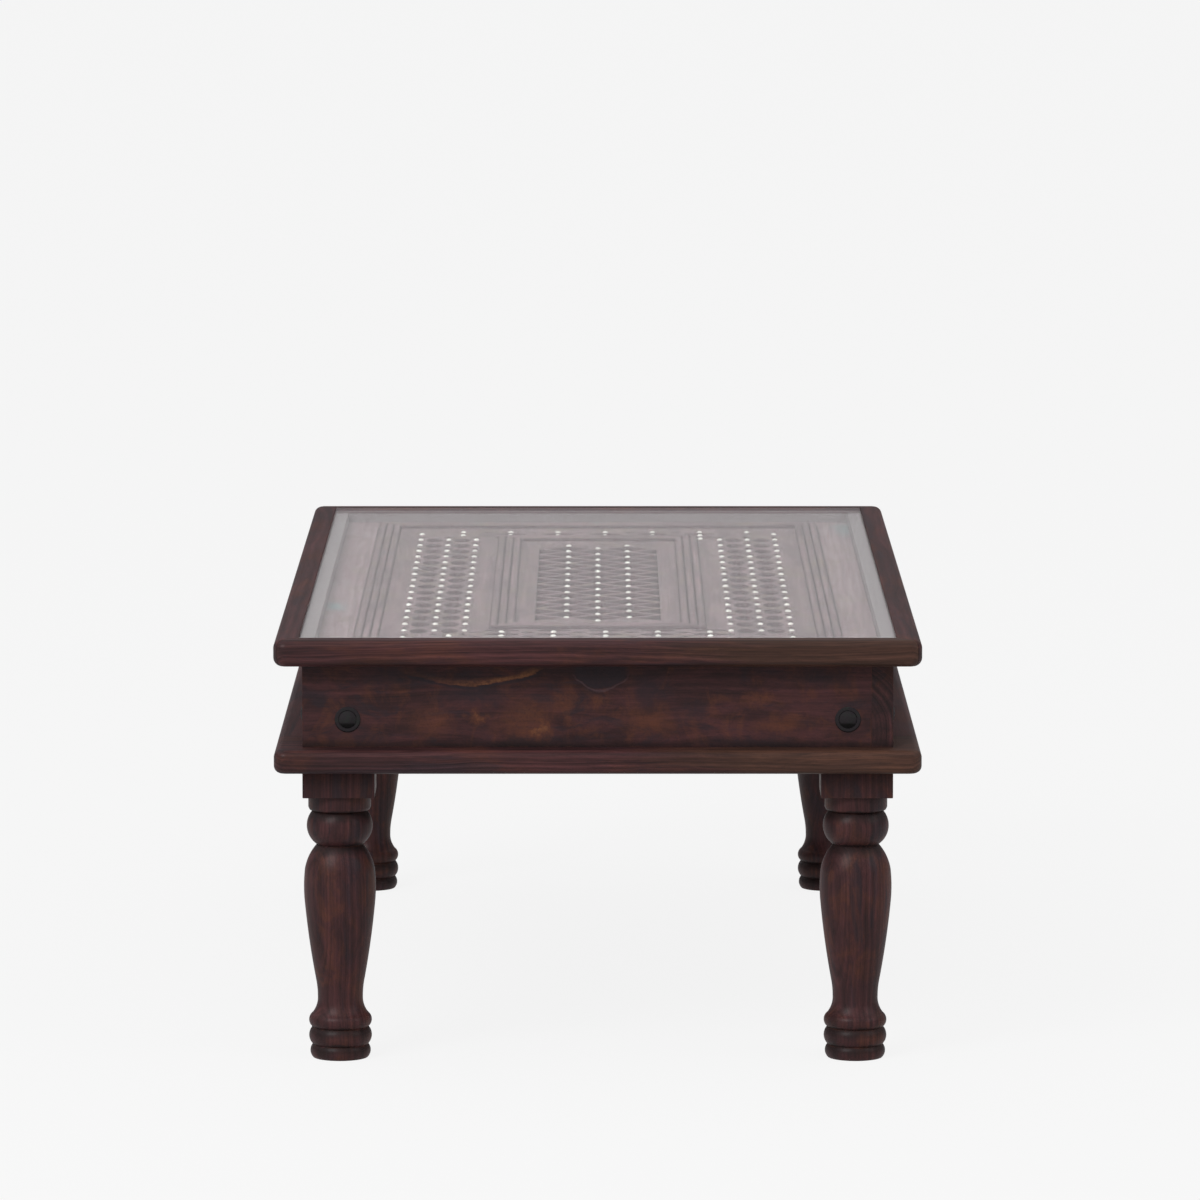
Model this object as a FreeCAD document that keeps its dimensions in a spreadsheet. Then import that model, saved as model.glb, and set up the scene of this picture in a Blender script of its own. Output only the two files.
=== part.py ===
import FreeCAD, Part
import os
import re
import Sketcher
from FreeCAD import Placement, Rotation, Vector

# A low table of the bajot kind, seen as a small coffee table: four turned legs under a
# boxed apron, and a pierced and nailed panel under a loose pane of glass.
# Millimetres, +Z up. The origin is on the floor under the middle of the table,
# X runs along the short side and Y along the long side, and the front is at -Y.

# The driving sizes. Each can be changed by itself.
SIZES = {
    # the whole
    "table_width": 600,
    "table_length": 1100,
    "corner_radius": 12,
    "joint_gap": 0.3,
    "cut_overrun": 2,
    # turned legs
    "leg_height": 275,
    "leg_block_side": 66.5,
    "leg_block_height": 26,
    "leg_belly_radius": 33.4,
    # lower rim
    "rim_thickness": 22,
    "rim_width": 100,
    "rim_rounding": 7,
    # apron
    "apron_height": 78,
    "apron_thickness": 20,
    "apron_reveal": 26,
    # top frame and glass
    "top_thickness": 25,
    "top_rounding": 8,
    "glass_reveal": 23,
    "glass_ledge": 14,
    "glass_thickness": 5,
    "glass_gap": 0.5,
    # leg bolts and the blocks that they draw up to
    "bolt_radius": 5,
    "bolt_grip": 45,
    "bolt_tail": 2,
    "bolt_clearance": 0.5,
    "thread_clearance": 0.1,
    "washer_radius": 10.5,
    "washer_thickness": 2,
    "nut_corner_radius": 9.8,
    "nut_height": 8,
    "block_leg": 72,
    "block_tip": 8,
    "block_height": 40,
    # panel in the top
    "cleat_side": 18,
    "backing_thickness": 6,
    "panel_thickness": 10,
    "border_width": 44.5,
    "outer_moulding_inset": 71,
    "outer_moulding_width": 23,
    "inner_moulding_width": 24,
    "reed_height": 4,
    "reed_groove_height": 1,
    "reed_count": 3,
    # nails with low faceted heads
    "nail_radius": 3,
    "nail_flat_radius": 1.6,
    "nail_height": 1.8,
    "nail_side_count": 6,
    # pierced strips along the two long sides, between the outer and the inner moulding
    "side_strip_share": 0.5,
    "side_nail_margin": 22.9,
    "side_pitch": 48.7,
    "side_front_inset": 170,
    "side_back_inset": 195,
    # pierced strips at the two ends
    "end_strip_depth": 90,
    "end_nail_margin": 38.5,
    "end_nail_spacing": 28.5,
    "end_pitch": 49.2,
    "end_left_gap": 35,
    "end_right_gap": 20,
    # diamond lattice of the centre, two cells wide
    "centre_reveal": 19,
    "centre_pitch": 48.3,
    "centre_front_gap": 60.5,
    "centre_back_gap": 68,
    "lattice_strip": 8,
    # iron studs on the apron
    "stud_flange_radius": 12,
    "stud_flange_height": 1.6,
    "stud_knob_radius": 7.8,
    "stud_height": 5,
    "stud_shank_radius": 3,
    "stud_shank_length": 16,
    "stud_rise": 26,
    "stud_inset": 42,
}

# The outline of a leg below its square block, from the floor up. Radii are shares of the
# belly's radius and heights are shares of the turned length. An entry of four is an arc:
# a point that it goes through, and its end.
LEG_OUTLINE_SHARES = [
    (0.763, 0.000),
    (0.841, 0.025, 0.769, 0.050),
    (0.874, 0.082, 0.778, 0.116),
    (0.874, 0.144, 0.778, 0.168),
    (0.665, 0.196, 0.629, 0.233),
    (0.638, 0.261, 0.665, 0.289),
    (0.856, 0.446, 0.988, 0.602),
    (1.000, 0.659, 0.973, 0.715),
    (0.865, 0.762, 0.635, 0.809),
    (0.916, 0.880, 0.737, 0.939),
    (0.835, 0.941),
    (0.871, 0.951),
    (0.871, 1.000),
]

# Outlines of the holes of the pierced strips, in shares of the nails' spacing across the
# strip and of their pitch along it. An entry of four is an arc, as above.
OVAL_SHARES = [(0.105, -0.318), (0.297, 0, 0.105, 0.318),
               (-0.105, 0.318), (-0.297, 0, -0.105, -0.318)]
EYE_SHARES = [(0, -0.144), (0.175, 0), (0, 0.144), (-0.175, 0)]
EDGE_EYE_SHARES = [(0, -0.144), (0.175, 0), (0, 0.144), (-0.087, 0)]

# Outlines of the centre's diamonds and of a plain board, in shares of half the width and length.
DIAMOND_SHARES = [(0, -1), (1, 0), (0, 1), (-1, 0)]
HALF_DIAMOND_SHARES = [(0, -1), (0, 1), (-1, 0)]
SQUARE_SHARES = [(-1, -1), (1, -1), (1, 1), (-1, 1)]

# The four sides, with the turn that brings a piece drawn at the front to its side.
SIDES = {"front": 0, "right": 90, "back": 180, "left": 270}

# The four corners, in shares of half the table's width and length, and the turn that brings
# a piece drawn at the back right to each.
CORNER_SHARES = {
    "front_left": (-1, -1),
    "front_right": (1, -1),
    "back_right": (1, 1),
    "back_left": (-1, 1),
}
CORNER_TURNS = {"front_left": 180, "front_right": 270, "back_right": 0, "back_left": 90}

HALF_X = "table_width / 2"
HALF_Y = "table_length / 2"
RIM_TOP = "leg_height + rim_thickness"
APRON_TOP = "leg_height + rim_thickness + apron_height"
TABLE_TOP = "leg_height + rim_thickness + apron_height + top_thickness"

# Half the field inside the outer moulding, and the outer reach of the inner moulding.
FIELD_X = f"({HALF_X} - outer_moulding_inset - outer_moulding_width)"
FIELD_Y = f"({HALF_Y} - outer_moulding_inset - outer_moulding_width)"
INNER_X = f"({FIELD_X} * (1 - side_strip_share))"
INNER_Y = f"({FIELD_Y} - end_strip_depth)"

doc = FreeCAD.newDocument("low_table")
sheet = doc.addObject("Spreadsheet::Sheet", "sizes")
for row, (word, value) in enumerate(SIZES.items(), start=1):
    sheet.set("A%d" % row, word)
    sheet.set("B%d" % row, str(value))
    sheet.setAlias("B%d" % row, word)
gauge = doc.addObject("App::FeaturePython", "gauge")
gauge.addProperty("App::PropertyFloat", "reading")
doc.recompute()

sub_parts = []


def worded(formula):
    """A formula with each of its size words given the sheet's name."""
    return re.sub("[a-z_]+", lambda word: "sizes." * (word[0] in SIZES) + word[0], formula)


def number(formula):
    """What a formula of size words comes to."""
    gauge.setExpression("reading", worded(formula))
    gauge.recompute()
    return gauge.reading


def bind(item, formulas):
    """Ties properties of an object to formulas of size words."""
    for path, formula in formulas.items():
        item.setExpression(path, worded(formula))


def place(item, x="0", y="0", z="0", turn=0):
    """Turns an object about Z and ties its place to three formulas."""
    item.Placement = Placement(Vector(), Rotation(Vector(0, 0, 1), turn))
    bind(item, {"Placement.Base.x": x, "Placement.Base.y": y, "Placement.Base.z": z})


def halves(side):
    """Half the table along a side, and half the table across it."""
    return (HALF_X, HALF_Y) if side in ("front", "back") else (HALF_Y, HALF_X)


def new_body(label):
    """A body that becomes one sub-part."""
    body = doc.addObject("PartDesign::Body", label)
    sub_parts.append(body)
    return body


def new_sketch(body, name, role="XY_Plane", lift="0"):
    """A sketch on one of the body's own origin planes, lifted off it along its normal."""
    sketch = body.newObject("Sketcher::SketchObject", name)
    plane = next(item for item in body.Origin.OriginFeatures if item.Role == role)
    sketch.AttachmentSupport = (plane, [""])
    sketch.MapMode = "FlatFace"
    bind(sketch, {"AttachmentOffset.Base.z": lift})
    return sketch


def held_point(index, end, formulas):
    """The constraints that hold a point of a sketch, each with its formula."""
    return [(Sketcher.Constraint(kind, index, end, number(formula)), formula)
            for kind, formula in zip(("DistanceX", "DistanceY"), formulas)]


def add_constraints(sketch, held):
    """Adds constraints to a sketch at once, and ties each that has a formula to it."""
    indices = sketch.addConstraint([constraint for constraint, _ in held])
    for index, (_, formula) in zip(indices, held):
        if formula:
            bind(sketch, {"Constraints[%d]" % index: formula})


def add_loop(sketch, corners):
    """A closed loop through corners (x, y), and arcs (through x, through y, end x, end y)."""
    start = Vector(*[number(formula) for formula in corners[-1][-2:]])
    ends = []
    held = []
    for corner in corners:
        stop = Vector(*[number(formula) for formula in corner[-2:]])
        first, last = 1, 2
        if len(corner) == 4:
            through = Vector(*[number(formula) for formula in corner[:2]])
            if (through - start).cross(stop - through).z < 0:
                first, last = 2, 1
                edge = Part.Arc(stop, through, start)
            else:
                edge = Part.Arc(start, through, stop)
        else:
            edge = Part.LineSegment(start, stop)
        index = sketch.addGeometry(edge)
        ends.append((index, first, last))
        held += held_point(index, last, corner[-2:])
        if len(corner) == 4:
            point = sketch.addGeometry(Part.Point(through), True)
            held.append((Sketcher.Constraint("PointOnObject", point, 1, index), None))
            held += held_point(point, 1, corner[:2])
        start = stop
    for (index, _, last), (follower, first, _) in zip(ends, ends[1:] + ends[:1]):
        held.append((Sketcher.Constraint("Coincident", index, last, follower, first), None))
    add_constraints(sketch, held)


def add_circle(sketch, x, y, radius):
    """A circle about (x, y)."""
    circle = Part.Circle(Vector(number(x), number(y)), Vector(0, 0, 1), number(radius))
    index = sketch.addGeometry(circle)
    held = held_point(index, 3, (x, y))
    held.append((Sketcher.Constraint("Radius", index, number(radius)), radius))
    add_constraints(sketch, held)


def pad(body, sketch, length):
    """Adds the sketch's loops as a solid along its plane's normal."""
    feature = body.newObject("PartDesign::Pad", "pad")
    feature.Profile = sketch
    bind(feature, {"Length": length})
    doc.recompute()
    return feature


def pocket(body, sketch, length):
    """Cuts the sketch's loops to a depth, against the sketch's normal."""
    before = body.Shape.Volume
    feature = body.newObject("PartDesign::Pocket", "pocket")
    feature.Profile = sketch
    bind(feature, {"Length": length})
    doc.recompute()
    if not feature.Shape.Volume < before:
        raise RuntimeError("%s: a pocket cut nothing" % body.Label)


def round_edges(body, feature, radius, picks):
    """Rounds the level edges whose middles are picked."""
    names = []
    for count, edge in enumerate(feature.Shape.Edges, start=1):
        middle = edge.valueAt((edge.FirstParameter + edge.LastParameter) / 2)
        level = edge.BoundBox.ZLength < number("joint_gap")
        if level and picks(middle):
            names.append("Edge%d" % count)
    fillet = body.newObject("PartDesign::Fillet", "rounding")
    fillet.Base = (feature, names)
    bind(fillet, {"Radius": radius})
    doc.recompute()


def mitred_loop(along, across, width):
    """The plan of one side of a mitred frame, drawn at the front."""
    return [
        (f"-({along})", f"-({across})"),
        (f"{along}", f"-({across})"),
        (f"{along} - {width}", f"-({across} - {width})"),
        (f"-({along} - {width})", f"-({across} - {width})"),
    ]


def turned_solid(outline):
    """The solid of an outline of (radius, height) corners turned about Z."""
    corners = [Vector(radius, 0, height) for radius, height in outline]
    face = Part.Face(Part.makePolygon(corners + corners[:1]))
    return face.revolve(Vector(), Vector(0, 0, 1), 360)


def solid_group(label, solids):
    """A sub-part of solids that are made in their places."""
    feature = doc.addObject("Part::Feature", label)
    feature.Shape = Part.makeCompound(solids)
    feature.Placement = Placement()
    sub_parts.append(feature)


def joined_group(label, members):
    """A sub-part of like objects, each already tied to the sheet."""
    group = doc.addObject("Part::Compound", label)
    group.Links = members
    sub_parts.append(group)


def leg(corner):
    """A turned leg: the outline revolved, a square block on top, and a bolt hole."""
    share_x, share_y = CORNER_SHARES[corner]
    turned_height = "(leg_height - leg_block_height)"
    body = new_body("leg_" + corner)
    outline = [("0", "0")]
    for shares in LEG_OUTLINE_SHARES:
        words = ("leg_belly_radius", turned_height) * (len(shares) // 2)
        outline.append(tuple(f"{share} * {word}" for share, word in zip(shares, words)))
    outline.append(("0", turned_height))
    sketch = new_sketch(body, "outline", "XZ_Plane")
    add_loop(sketch, outline)
    turning = body.newObject("PartDesign::Revolution", "turning")
    turning.Profile = sketch
    turning.ReferenceAxis = (sketch, ["V_Axis"])
    turning.Angle = 360
    doc.recompute()
    half_block = "leg_block_side / 2"
    block = new_sketch(body, "block", lift=turned_height)
    add_loop(block, [(f"-({half_block})", f"-({half_block})"), (half_block, f"-({half_block})"),
                     (half_block, half_block), (f"-({half_block})", half_block)])
    pad(body, block, "leg_block_height")
    bolt_hole = new_sketch(body, "bolt_hole", lift="leg_height")
    add_circle(bolt_hole, "0", "0", "bolt_radius + thread_clearance")
    pocket(body, bolt_hole, "bolt_grip")
    place(body, f"{share_x} * ({HALF_X} - apron_reveal - leg_block_side / 2)",
          f"{share_y} * ({HALF_Y} - apron_reveal - leg_block_side / 2)")


def rim_board(side):
    """A board of the lower rim: the two ends run through, the two sides fit between them."""
    along, across = halves(side)
    body = new_body("rim_" + side)
    sketch = new_sketch(body, "plan")
    runs_through = side in ("front", "back")
    if runs_through:
        bow = "corner_radius * (1 - cos(45))"
        add_loop(sketch, [
            (f"{along} - corner_radius", f"-({across})"),
            (f"{along} - {bow}", f"-({across} - {bow})",
             along, f"-({across} - corner_radius)"),
            (along, f"-({across} - rim_width)"),
            (f"-({along})", f"-({across} - rim_width)"),
            (f"-({along})", f"-({across} - corner_radius)"),
            (f"-({along} - {bow})", f"-({across} - {bow})",
             f"-({along} - corner_radius)", f"-({across})"),
        ])
        bolt_x = f"{along} - apron_reveal - leg_block_side / 2"
        bolt_y = f"-({across} - apron_reveal - leg_block_side / 2)"
        add_circle(sketch, bolt_x, bolt_y, "bolt_radius + bolt_clearance")
        add_circle(sketch, f"-({bolt_x})", bolt_y, "bolt_radius + bolt_clearance")
    else:
        end = f"({along} - rim_width)"
        add_loop(sketch, [
            (f"-{end}", f"-({across})"),
            (end, f"-({across})"),
            (end, f"-({across} - rim_width)"),
            (f"-{end}", f"-({across} - rim_width)"),
        ])
    board = pad(body, sketch, "rim_thickness")
    edge_x = number(along) - number("corner_radius") / 2
    edge_y = number(across) - number("corner_radius") / 2
    inner_y = number(across) - number("rim_width")
    margin = number("joint_gap")

    def outer(middle):
        at_end = runs_through and abs(middle.x) > edge_x and middle.y < -inner_y - margin
        return middle.y < -edge_y or at_end

    round_edges(body, board, "rim_rounding", outer)
    place(body, z="leg_height", turn=SIDES[side])


def apron_board(side):
    """An apron board that runs through at one end and butts on the next board at the other."""
    along, across = halves(side)
    outer_end = f"({along} - apron_reveal)"
    outer_face = f"({across} - apron_reveal)"
    body = new_body("apron_" + side)
    sketch = new_sketch(body, "plan")
    add_loop(sketch, [
        (f"-{outer_end}", f"-{outer_face}"),
        (f"{outer_end} - apron_thickness", f"-{outer_face}"),
        (f"{outer_end} - apron_thickness", f"-({outer_face} - apron_thickness)"),
        (f"-{outer_end}", f"-({outer_face} - apron_thickness)"),
    ])
    pad(body, sketch, "apron_height")
    bores = new_sketch(body, "stud_bores", "XZ_Plane", outer_face)
    stud_x = f"{outer_end} - stud_inset"
    add_circle(bores, stud_x, "stud_rise", "stud_shank_radius + thread_clearance")
    add_circle(bores, f"-({stud_x})", "stud_rise", "stud_shank_radius + thread_clearance")
    pocket(body, bores, "apron_thickness + cut_overrun")
    place(body, z=RIM_TOP, turn=SIDES[side])


def top_rail(side):
    """A mitred rail of the top frame, rounded outside and rebated for the glass."""
    along, across = halves(side)
    body = new_body("top_rail_" + side)
    tip = "corner_radius * (1 - cos(45))"
    through_x = "corner_radius * (1 - sin(22.5))"
    through_y = "corner_radius * (1 - cos(22.5))"
    width = "(glass_reveal + glass_ledge)"
    sketch = new_sketch(body, "plan")
    add_loop(sketch, [
        (f"{along} - corner_radius", f"-({across})"),
        (f"{along} - {through_x}", f"-({across} - {through_y})",
         f"{along} - {tip}", f"-({across} - {tip})"),
        (f"{along} - {width}", f"-({across} - {width})"),
        (f"-({along} - {width})", f"-({across} - {width})"),
        (f"-({along} - {tip})", f"-({across} - {tip})"),
        (f"-({along} - {through_x})", f"-({across} - {through_y})",
         f"-({along} - corner_radius)", f"-({across})"),
    ])
    board = pad(body, sketch, "top_thickness")
    edge_y = number(across) - number("corner_radius") / 2
    round_edges(body, board, "top_rounding", lambda middle: middle.y < -edge_y)
    rebate = new_sketch(body, "rebate", lift="top_thickness")
    add_loop(rebate, mitred_loop(f"{along} - glass_reveal", f"{across} - glass_reveal",
                                 "(glass_ledge + cut_overrun)"))
    pocket(body, rebate, "glass_thickness")
    place(body, z=APRON_TOP, turn=SIDES[side])


def border_board(side):
    """A mitred board of the tooled border round the pierced panel."""
    along, across = halves(side)
    body = new_body("border_" + side)
    edge = "(glass_reveal + glass_ledge + joint_gap)"
    sketch = new_sketch(body, "plan")
    add_loop(sketch, mitred_loop(f"{along} - {edge}", f"{across} - {edge}", "border_width"))
    pad(body, sketch, "panel_thickness")
    place(body, z=APRON_TOP, turn=SIDES[side])


def reeded_moulding(label, side, along, across, width):
    """One side of a mitred moulding: its reeded section run along the side, then mitred."""
    body = new_body(f"{label}_{side}")
    section = [(f"-({across} - {width})", "0"), (f"-({across})", "0"),
               (f"-({across})", "reed_groove_height")]
    for reed in range(SIZES["reed_count"]):
        section.append((f"-({across} - {width} * {reed + 0.5} / reed_count)", "reed_height",
                        f"-({across} - {width} * {reed + 1} / reed_count)", "reed_groove_height"))
    sketch = new_sketch(body, "section", "YZ_Plane", f"-({along})")
    add_loop(sketch, section)
    pad(body, sketch, f"2 * ({along})")
    reach = f"({width} + cut_overrun)"
    mitres = new_sketch(body, "mitres", lift="reed_height + cut_overrun")
    for sign in ("", "-"):
        add_loop(mitres, [
            (f"{sign}({along} + cut_overrun)", f"-({across} + cut_overrun)"),
            (f"{sign}({along} + cut_overrun)", f"-({across} - {reach})"),
            (f"{sign}({along} - {reach})", f"-({across} - {reach})"),
        ])
    pocket(body, mitres, "reed_height + 2 * cut_overrun")
    place(body, z=f"{APRON_TOP} + panel_thickness", turn=SIDES[side])


def spread(first, last, pitch):
    """Places a pitch apart, from the first one on, as far as the last allows."""
    return [first + step * pitch for step in range(int((last - first) / pitch) + 1)]


def side_strip():
    """The middle, the nail spacing and the nail rows of the right-hand pierced strip."""
    width = f"{FIELD_X} * side_strip_share"
    rows = spread(number(f"side_front_inset - {HALF_Y}"), number(f"{HALF_Y} - side_back_inset"),
                  number("side_pitch"))
    return number(f"{INNER_X} + {width} / 2"), number(f"{width} / 2 - side_nail_margin"), rows


def end_strip():
    """The outer nail row of the back pierced strip, and its columns."""
    middle, spacing, _ = side_strip()
    inner_column = middle - spacing
    columns = spread(number("end_left_gap") - inner_column,
                     inner_column - number("end_right_gap"), number("end_pitch"))
    return number(f"{FIELD_Y} - end_nail_margin"), columns


def centre_strip():
    """The half width of the centre lattice and the rows of its middle diamonds."""
    opening_y = f"({INNER_Y} - inner_moulding_width)"
    rows = spread(number(f"centre_front_gap - {opening_y}"),
                  number(f"{opening_y} - centre_back_gap"), number("centre_pitch"))
    return number(f"{INNER_X} - inner_moulding_width - centre_reveal"), rows


def hole_wire(outline_shares, x, y, width, length, upright=True):
    """A hole about (x, y), its outline scaled to a width, and a length that is upright on Y."""
    def spot(across, along):
        reach = (across * width, along * length)
        return Vector(x, y) + (Vector(*reach) if upright else Vector(*reach[::-1]))

    edges = []
    start = spot(*outline_shares[-1][-2:])
    for shares in outline_shares:
        end = spot(*shares[-2:])
        if len(shares) == 4:
            edges.append(Part.Arc(start, spot(*shares[:2]), end).toShape())
        else:
            edges.append(Part.LineSegment(start, end).toShape())
        start = end
    return Part.Wire(edges)


def side_holes():
    """The holes of the two long strips: ovals between nail columns, and eyes in them."""
    middle, spacing, rows = side_strip()
    pitch = number("side_pitch")
    half = pitch / 2
    holes = []
    for sign in (-1, 1):
        inner = sign * (middle - spacing)
        outer = sign * (middle + spacing)
        for y in rows:
            holes += [hole_wire(OVAL_SHARES, sign * (middle + shift), y, spacing, pitch)
                      for shift in (-spacing / 2, spacing / 2)]
        for y in [rows[0] - half] + [row + half for row in rows]:
            holes.append(hole_wire(EYE_SHARES, sign * middle, y, spacing, pitch))
            holes.append(hole_wire(EDGE_EYE_SHARES, inner, y, sign * spacing, pitch))
            holes.append(hole_wire(EDGE_EYE_SHARES, outer, y, -sign * spacing, pitch))
    return holes


def end_holes():
    """The holes of the two end strips, lying along X."""
    outer, columns = end_strip()
    spacing = number("end_nail_spacing")
    pitch = number("end_pitch")
    holes = []
    for x in columns:
        for sign in (-1, 1):
            holes += [hole_wire(OVAL_SHARES, x, sign * (outer - step * spacing), spacing, pitch,
                                upright=False) for step in (0.5, 1.5)]
            holes += [hole_wire(EYE_SHARES, x - pitch / 2, sign * (outer - step * spacing),
                                spacing, pitch, upright=False) for step in (0, 1)]
    return holes


def centre_holes():
    """The diamonds of the centre lattice, halved along its two long edges."""
    edge, rows = centre_strip()
    cell_x = edge / 2
    cell_y = number("centre_pitch / 2")
    cell_inset = number("lattice_strip / 2") * (cell_x ** 2 + cell_y ** 2) ** 0.5
    kept = 1 - cell_inset / (cell_x * cell_y)
    half_x = cell_x * kept
    half_y = cell_y * kept
    holes = []
    for y in rows:
        holes += [hole_wire(DIAMOND_SHARES, x, y + cell_y, half_x, half_y)
                  for x in (-cell_x, cell_x)]
        holes.append(hole_wire(DIAMOND_SHARES, 0, y, half_x, half_y))
        holes.append(hole_wire(HALF_DIAMOND_SHARES, edge, y, half_x, half_y))
        holes.append(hole_wire(HALF_DIAMOND_SHARES, -edge, y, -half_x, half_y))
    return holes


def jali_panel():
    """The pierced panel. Its holes are too many for pockets, so one holed face is extruded."""
    inset = "(glass_reveal + glass_ledge + border_width + 2 * joint_gap)"
    board = hole_wire(SQUARE_SHARES, 0, 0, number(f"{HALF_X} - {inset}"),
                      number(f"{HALF_Y} - {inset}"))
    holes = side_holes() + end_holes() + centre_holes()
    face = Part.makeFace([board] + holes, "Part::FaceMakerBullseye")
    panel = face.extrude(Vector(0, 0, number("panel_thickness")))
    panel.translate(Vector(0, 0, number(APRON_TOP)))
    solid_group("jali_panel", panel.Solids)


def nail_head():
    """A low faceted nail head, narrower at its flat top."""
    rings = []
    for radius, height in (("nail_radius", 0), ("nail_flat_radius", number("nail_height"))):
        arm = Vector(number(radius), 0, height)
        turns = range(SIZES["nail_side_count"] + 1)
        corners = [Rotation(Vector(0, 0, 1), turn * 360 / SIZES["nail_side_count"]).multVec(arm)
                   for turn in turns]
        rings.append(Part.makePolygon(corners))
    return Part.makeLoft(rings, True, True)


def nails():
    """The nails of each strip, standing on the panel's face. Each group is many loose solids."""
    level = number(f"{APRON_TOP} + panel_thickness")
    head = nail_head()

    def stand(label, spots):
        solids = []
        for x, y in spots:
            nail = head.copy()
            nail.translate(Vector(x, y, level))
            solids.append(nail)
        solid_group(label, solids)

    middle, spacing, rows = side_strip()
    pitch = number("side_pitch")
    longer_rows = [rows[0] - pitch] + rows + [rows[-1] + pitch]
    for side, sign in (("left", -1), ("right", 1)):
        spots = [(sign * x, y) for x in (middle - spacing, middle) for y in rows]
        spots += [(sign * (middle + spacing), y) for y in longer_rows]
        stand("nails_" + side, spots)

    outer, columns = end_strip()
    inner = outer - number("end_nail_spacing")
    pitch = number("end_pitch")
    before = [columns[0] - pitch] + columns
    after = [columns[-1] + pitch]
    stand("nails_front", [(x, -outer) for x in before] + [(x, -inner) for x in columns])
    stand("nails_back", [(x, outer) for x in before + after] + [(x, inner) for x in before])

    edge, rows = centre_strip()
    half = number("centre_pitch / 2")
    spots = [(x, y) for x in (-edge / 2, edge / 2) for y in rows + [rows[-1] + 2 * half]]
    spots += [(0, y) for y in [rows[0] - half] + [row + half for row in rows]]
    stand("nails_centre", spots)


def apron_studs():
    """Two iron studs on each apron board: a shank, a thin flange and a raised knob."""
    knob = number("stud_knob_radius")
    flange = number("stud_flange_radius")
    flange_top = number("stud_flange_height")
    top = number("stud_height")
    shank = number("stud_shank_radius")
    chamfer = number("stud_flange_height") / 2
    stud = turned_solid([
        (0, -number("stud_shank_length")), (shank, -number("stud_shank_length")), (shank, 0),
        (flange, 0), (flange, chamfer), (flange - chamfer, flange_top),
        (knob, flange_top), (knob, top - 2 * chamfer), (knob - 2 * chamfer, top), (0, top),
    ])
    height = number(f"{RIM_TOP} + stud_rise")
    solids = []
    for side, turn in SIDES.items():
        along, across = halves(side)
        for sign in (-1, 1):
            piece = stud.copy()
            lie_back = Rotation(Vector(1, 0, 0), 90)
            spot = Vector(sign * number(f"{along} - apron_reveal - stud_inset"),
                          -number(f"{across} - apron_reveal"), height)
            swing = Placement(Vector(), Rotation(Vector(0, 0, 1), turn))
            piece.Placement = swing.multiply(Placement(spot, lie_back))
            solids.append(piece)
    solid_group("apron_studs", solids)


def corner_block(corner):
    """A three-cornered block inside the apron, with clipped tips and a hole for the bolt."""
    share_x, share_y = CORNER_SHARES[corner]
    body = new_body("corner_block_" + corner)
    sketch = new_sketch(body, "plan")
    add_loop(sketch, [("0", "0"), ("-block_leg", "0"), ("-block_leg", "-block_tip"),
                      ("-block_tip", "-block_leg"), ("0", "-block_leg")])
    inward = "-(leg_block_side / 2 - apron_thickness)"
    add_circle(sketch, inward, inward, "bolt_radius + bolt_clearance")
    pad(body, sketch, "block_height")
    place(body, f"{share_x} * ({HALF_X} - apron_reveal - apron_thickness)",
          f"{share_y} * ({HALF_Y} - apron_reveal - apron_thickness)", RIM_TOP,
          CORNER_TURNS[corner])


def leg_fastenings():
    """A bolt from each leg up through the rim and the corner block, with washer and nut."""
    seat = f"{RIM_TOP} + block_height"
    bolts, washers, nuts = [], [], []
    for corner, (share_x, share_y) in CORNER_SHARES.items():
        x = f"{share_x} * ({HALF_X} - apron_reveal - leg_block_side / 2)"
        y = f"{share_y} * ({HALF_Y} - apron_reveal - leg_block_side / 2)"
        bolt = doc.addObject("Part::Cylinder", "bolt_" + corner)
        bind(bolt, {"Radius": "bolt_radius",
                    "Height": "bolt_grip + rim_thickness + block_height"
                              " + washer_thickness + nut_height + bolt_tail"})
        place(bolt, x, y, "leg_height - bolt_grip")
        bolts.append(bolt)
        disc = doc.addObject("Part::Cylinder", "washer_disc_" + corner)
        bind(disc, {"Radius": "washer_radius", "Height": "washer_thickness"})
        place(disc, x, y, seat)
        washers.append(bored(disc, x, y, seat, "washer_thickness", "bolt_clearance"))
        hexagon = doc.addObject("Part::Prism", "nut_hexagon_" + corner)
        bind(hexagon, {"Circumradius": "nut_corner_radius", "Height": "nut_height"})
        place(hexagon, x, y, f"{seat} + washer_thickness")
        nuts.append(bored(hexagon, x, y, f"{seat} + washer_thickness", "nut_height",
                          "thread_clearance"))
    joined_group("leg_bolts", bolts)
    joined_group("leg_washers", washers)
    joined_group("leg_nuts", nuts)


def bored(blank, x, y, z, height, clearance):
    """A blank with a hole for the leg bolt right through it."""
    drill = doc.addObject("Part::Cylinder", "bore_" + blank.Name)
    bind(drill, {"Radius": f"bolt_radius + {clearance}", "Height": f"{height} + 2 * cut_overrun"})
    place(drill, x, y, f"{z} - cut_overrun")
    cut = doc.addObject("Part::Cut", "bored_" + blank.Name)
    cut.Base = blank
    cut.Tool = drill
    return cut


def box(label, half_x, half_y, height, z, x="0", y="0"):
    """A plain board or bar about (x, y)."""
    board = doc.addObject("Part::Box", label)
    bind(board, {"Length": f"2 * ({half_x})", "Width": f"2 * ({half_y})", "Height": height})
    place(board, f"{x} - ({half_x})", f"{y} - ({half_y})", z)
    sub_parts.append(board)


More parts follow.
